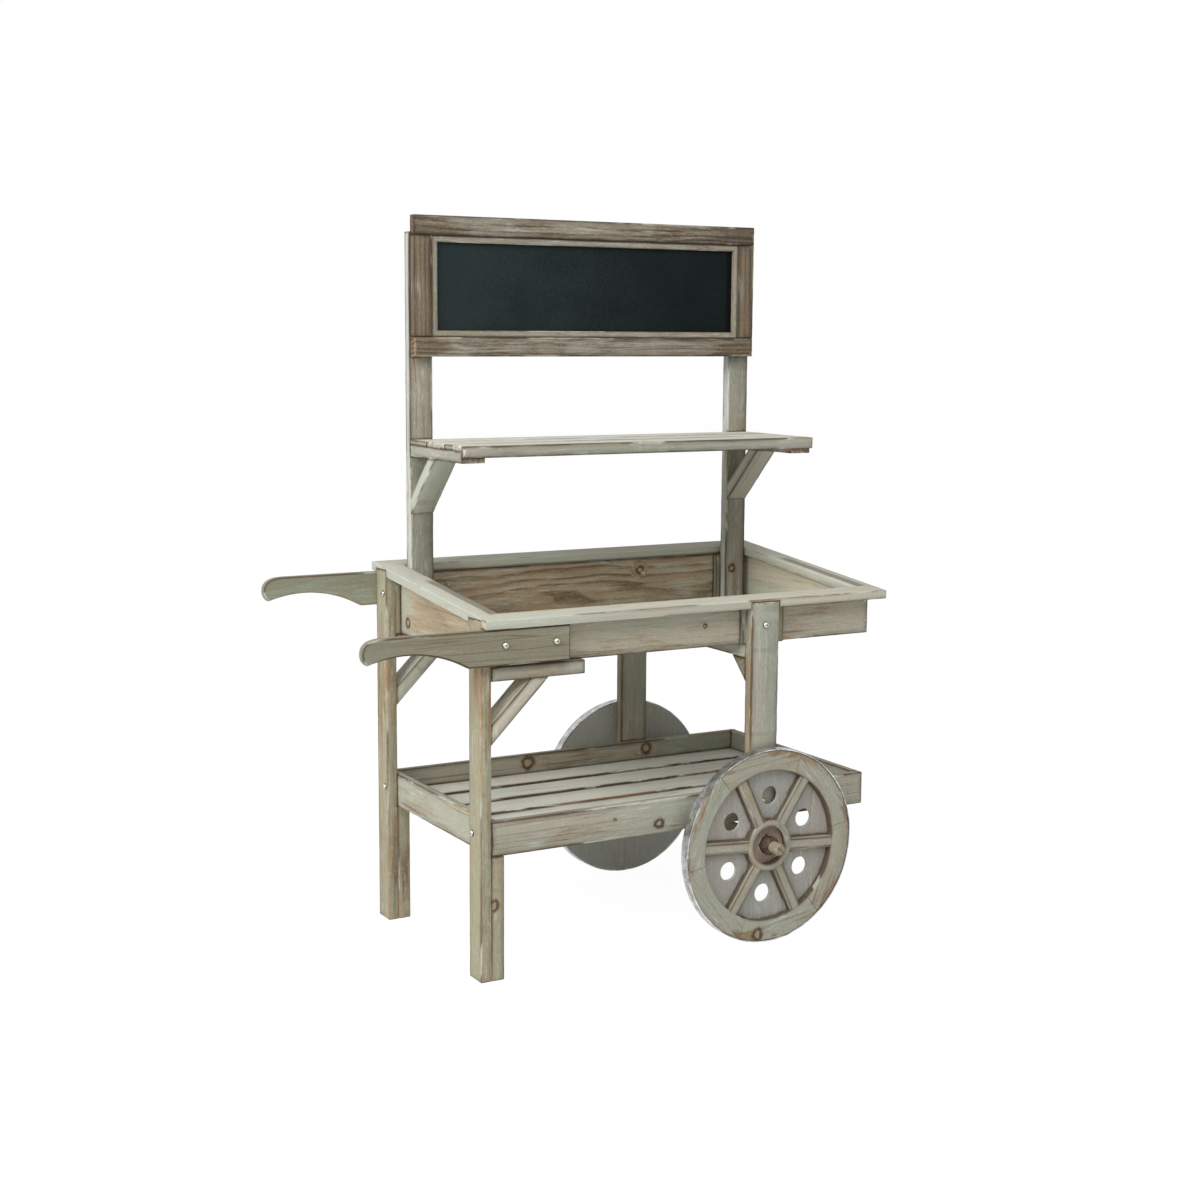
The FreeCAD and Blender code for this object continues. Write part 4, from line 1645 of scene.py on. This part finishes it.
    def corner_shade_depth(self, right: Value, up: Value, reach: Value) -> Value:
        """Distance on the disc to the nearest spoke, felloe, hub ring or nut, for the painted shade in its
        corners.
        """
        middle = ((up.angle_to(right) - self.offset) / self.step + 0.5).whole() * self.step + self.offset
        aside = abs(up * middle.cosine() - right * middle.sine()) - self.spoke_width / 2
        aside = aside.most(self.ring_r - reach)
        ring = abs(reach - (self.ring_r - self.ring_width / 2)) - self.ring_width / 2
        low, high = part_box(self.side.word + "_hub_nut")
        nut = reach - (high.x - low.x) / 2
        return aside.least(ring).least(self.felloe_r - reach).least(nut)

    def turned_finish(self, part: str) -> Finish:
        """Finish whose fibres follow each felloe or spoke.

        Args:
            part: the node's name after the wheel's.

        Returns:
            The material.
        """
        kit = Kit.fresh(self.body + part)
        x, y, z = kit.parts(kit.place())
        right = x - self.centre.x
        up = z - self.centre.z
        start = self.offset - self.step / 2 if part == "_spokes" else self.joint
        index = ((up.angle_to(right) - start) / self.step).whole()
        middle = index * self.step + (start + self.step / 2)
        out = right * middle.cosine() + up * middle.sine()
        tangent = up * middle.cosine() - right * middle.sine()
        reach = (right * right + up * up).root()
        shift = random.Random(self.body + part).uniform(-2, 2)
        along, across = (out, tangent) if part == "_spokes" else (tangent, out)
        fibres = kit.vector(along + index * self.shift_along, across + index * self.shift_across, y + shift)
        marks = Marks()
        if part == "_spokes":
            edge = self.spoke_width / 2 - abs(tangent)
            marks.arris = edge.least(abs(edge - self.spoke_chamfer) + 0.4 * MM)
        elif part == "_felloes":
            marks.arris = (reach - self.felloe_r).least(self.disc_r - reach)
            patches = kit.noise(kit.vector(x * 16.0, y, z * 16.0), 3.0).ease(0.46, 0.60)
            marks.bare = (1.0 - (self.disc_r - reach).ease(0.0, self.rubbed_width)) * patches * 1.2
            marks.knot = nearest_knot(kit, kit.place(), (self.rim_knot(),))
        else:
            marks.arris = (self.ring_r - reach).least(reach - (self.ring_r - self.ring_width))
        return WHEEL_WASHED.coat(kit, fibres, self.pith, marks)

    def rim_knot(self) -> Knot:
        """A knot on the lowest felloe."""
        place = Vector((self.centre.x - self.knot_left, self.top, self.centre.z - self.disc_r + self.knot_up))
        return Knot(place, self.knot_radius)


@dataclass
class Axle:
    """Turned axle and the nuts that hold the wheels."""

    def build(self) -> None:
        """Dress the axle and both hub nuts."""
        nodes = frame["nodes"]
        Bench.coat(nodes["axle"], AXLE_WOOD.material("axle", Grain(Y_AXIS, "axle")))
        for side in Side:
            node = side.word + "_hub_nut"
            Bench.coat(nodes[node], NUT_WOOD.material(node, Grain(Y_AXIS, node)))


@dataclass
class Fasteners:
    """Bolts with domed, cross-slotted heads, and the nails of the boards."""

    head_radius: float = 6.0 * MM
    head_height: float = 4.6 * MM
    cad_height: float = 3.5 * MM
    slot_length: float = 6.5 * MM
    slot_width: float = 1.4 * MM
    slot_depth: float = 0.9 * MM
    nail_radius: float = 1.9 * MM
    nail_height: float = 0.5 * MM
    nail_inset: float = 7 * MM
    tray_nails: tuple[float, ...] = (24 * MM, 60 * MM)
    lower_nails: tuple[float, ...] = (12 * MM, 48 * MM)
    head_zinc: Colour = (0.62, 0.60, 0.50)
    nail_zinc: Colour = (0.42, 0.38, 0.30)

    def build(self) -> None:
        """Dress bolts and nuts, cap the bolts and drive the nails."""
        Bench.coat(frame["nodes"]["carriage_bolts"], ZincSteel().material("bolt_zinc"))
        Bench.coat(frame["nodes"]["bolt_nuts"], ZincSteel(tarnished=0.5).material("nut_zinc"))
        heads = self.copies("bolt_heads", self.head(), self.bolt_places())
        seats = tuple(place for place, _ in self.bolt_places())
        Bench.coat(heads, ZincSteel(zinc=self.head_zinc, seats=seats).material("head_zinc"))
        Bench.seat(heads, CART, "bolt_steel")
        nails = self.copies("board_nails", self.nail(), self.nail_places())
        Bench.coat(nails, ZincSteel(zinc=self.nail_zinc, tarnished=0.5).material("nail_steel"))
        Bench.seat(nails, CART, "bolt_steel")

    def copies(self, name: str, one: Piece, places: Iterable[tuple[Vector, Vector]]) -> Piece:
        """Set copies of one piece on faces and join them.

        Args:
            name: the joined piece's name.
            one: the piece, standing on the origin.
            places: where each copy stands, and which way it faces.

        Returns:
            The joined piece.
        """
        made = []
        for place, outward in places:
            turn = outward.to_track_quat("Z", "Y").to_matrix().to_4x4()
            made.append(Bench.copy(one, Matrix.Translation(place) @ turn))
        Bench.discard(one)
        return Bench.join(name, made)

    def head(self) -> Piece:
        """One domed head with a cross slot."""
        Bench.clear()
        bpy.ops.mesh.primitive_uv_sphere_add(segments=28, ring_count=14, radius=self.head_radius)
        bpy.context.active_object.scale = (1, 1, self.head_height / self.head_radius)
        piece = Bench.settle("bolt_head")
        Bench.saw(piece, (Cut(Vector((0, 0, 0)), -Z_AXIS),))
        long, wide = self.slot_length / 2, self.slot_width / 2
        floor = self.head_height - self.slot_depth
        for half in (Vector((long, wide, 0)), Vector((wide, long, 0))):
            Bench.notch(piece, -half + Z_AXIS * floor, half + Z_AXIS * (self.head_height + MM))
        Bench.smooth(piece, 35.0)
        return piece

    def nail(self) -> Piece:
        """One flat nail head with a rounded rim."""
        Bench.clear()
        bpy.ops.mesh.primitive_cylinder_add(vertices=14, radius=self.nail_radius, depth=2 * self.nail_height)
        piece = Bench.settle("nail")
        rim = [e.index for e in piece.data.edges if all(piece.data.vertices[i].co.z > 0 for i in e.vertices)]
        Bench.bevel(piece, rim, self.nail_height * 0.7)
        Bench.smooth(piece, 50.0)
        return piece

    def bolt_places(self) -> list[tuple[Vector, Vector]]:
        """Seat and direction of every bolt head."""
        places = []
        for low, high in solids("carriage_bolts"):
            middle = (low + high) / 2
            if high.x - low.x > high.y - low.y:
                places.append((Vector((low.x + self.cad_height, middle.y, middle.z)), -X_AXIS))
            elif middle.y < 0:
                places.append((Vector((middle.x, low.y + self.cad_height, middle.z)), -Y_AXIS))
            else:
                places.append((Vector((middle.x, high.y - self.cad_height, middle.z)), Y_AXIS))
        return places

    def nail_places(self) -> list[tuple[Vector, Vector]]:
        """Nails near the ends of the trays' long boards, on both sides."""
        places = []
        for node, heights in (("tray_{}_board", self.tray_nails), ("lower_{}_board", self.lower_nails)):
            for side in Side:
                low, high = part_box(node.format(side.word))
                face = low.y if side is Side.FRONT else high.y
                for right in (low.x + self.nail_inset, high.x - self.nail_inset):
                    for up in heights:
                        places.append((Vector((right, face, low.z + up)), Y_AXIS * side.value))
        return places


@dataclass(frozen=True)
class Lamp:
    """Large soft lamp aimed at the cart: its place and side in metres, its power in watts."""

    name: str
    place: tuple[float, float, float]
    size: float
    power: float
    aim_height: float = 0.6

    def build(self) -> None:
        """Hang the lamp."""
        light = bpy.data.lights.new(self.name, "AREA")
        light.size = self.size
        light.energy = self.power
        lamp = bpy.data.objects.new(self.name, light)
        lamp.location = self.place
        aim = Z_AXIS * self.aim_height - Vector(self.place)
        lamp.rotation_euler = aim.to_track_quat("-Z", "Y").to_euler()
        bpy.context.scene.collection.objects.link(lamp)


@dataclass
class Studio:
    """Camera, floor and soft light."""

    lens_mm: float = 55.93
    sensor_mm: float = 36.0
    eye: tuple[float, float, float] = (-1.6374, -2.9390, 1.0921)
    azimuth: float = -29.8
    pitch: float = -8.2
    roll: float = 0.4
    sight: float = 100.0
    floor_size: float = 40.0
    floor_drop: float = 0.2 * MM
    floor_colour: Colour = (0.86, 0.86, 0.855)
    floor_glow: float = 0.85
    glow: float = 1.12
    world_light: float = 0.31
    lamps: tuple[Lamp, ...] = (
        Lamp("key_light", (-4.1, -1.2, 2.8), 2.2, 142.0),
        Lamp("top_light", (-1.0, -2.7, 4.4), 3.0, 104.0),
    )

    def build(self) -> None:
        """Set up everything that isn't the cart."""
        self.camera()
        self.floor()
        self.world()
        for lamp in self.lamps:
            lamp.build()
        bpy.context.scene.view_settings.view_transform = "Standard"

    def camera(self) -> None:
        """Stand the camera where the photograph was taken from."""
        turn, dip, tilt = (math.radians(a) for a in (self.azimuth, self.pitch, self.roll))
        ahead = Vector((-math.sin(turn) * math.cos(dip), math.cos(turn) * math.cos(dip), math.sin(dip)))
        level = Vector((math.cos(turn), math.sin(turn), 0))
        upward = level.cross(ahead)
        right = level * math.cos(tilt) + upward * math.sin(tilt)
        up = upward * math.cos(tilt) - level * math.sin(tilt)
        lens = bpy.data.cameras.new("photo_camera")
        lens.lens = self.lens_mm
        lens.sensor_width = self.sensor_mm
        lens.clip_end = self.sight
        camera = bpy.data.objects.new("photo_camera", lens)
        matrix = Matrix((right, up, -ahead)).transposed().to_4x4()
        matrix.translation = self.eye
        camera.matrix_world = matrix
        bpy.context.scene.collection.objects.link(camera)
        bpy.context.scene.camera = camera

    def seen(self, kit: Kit) -> Value:
        """1 for rays that show the background: camera, glossy and transmission."""
        path = kit.node("ShaderNodeLightPath", {}, {})
        names = ("Is Camera Ray", "Is Glossy Ray", "Is Transmission Ray")
        camera, glossy, through = (Value(kit, path.outputs[name]) for name in names)
        return camera.most(glossy).most(through)

    def floor(self) -> None:
        """Pale floor that keeps the cart's shadow."""
        Bench.clear()
        bpy.ops.mesh.primitive_plane_add(size=self.floor_size, location=Z_AXIS * -self.floor_drop)
        floor = Bench.settle("studio_floor")
        kit = Kit.fresh("studio_floor")
        plain = kit.node("ShaderNodeBsdfDiffuse", {}, {"Color": (*self.floor_colour, 1.0)})
        glow = kit.node("ShaderNodeEmission", {}, {"Color": WHITE, "Strength": self.glow})
        share = self.seen(kit) * self.floor_glow
        mixed = kit.node("ShaderNodeMixShader", {}, {0: share, 1: plain.outputs[0], 2: glow.outputs[0]})
        kit.node("ShaderNodeOutputMaterial", {}, {"Surface": mixed.outputs[0]})
        Bench.coat(floor, kit.owner)

    def world(self) -> None:
        """White surroundings, plain as light and white where they are seen."""
        world = bpy.data.worlds.new("studio")
        bpy.context.scene.world = world
        kit = Kit(world)
        strength = self.seen(kit) * (1.0 - self.world_light) + self.world_light
        sky = kit.node("ShaderNodeBackground", {}, {"Color": WHITE, "Strength": strength})
        kit.node("ShaderNodeOutputWorld", {}, {"Surface": sky.outputs[0]})


def main() -> None:
    """Build the cart's looks, then the studio."""
    logging.basicConfig(level=logging.INFO, format="%(message)s")
    rim = RimPlane()
    parts = [LeftEnd(), WheelEnd(rim), UpperTray(rim), LowerTray(), BackFrame(rim), Handles()]
    parts += [Wheel(side) for side in Side]
    parts += [Axle(), Fasteners(), Studio()]
    for part in parts:
        part.build()
        LOG.info("built %s", type(part).__name__)


if __name__ == "__main__":
    main()
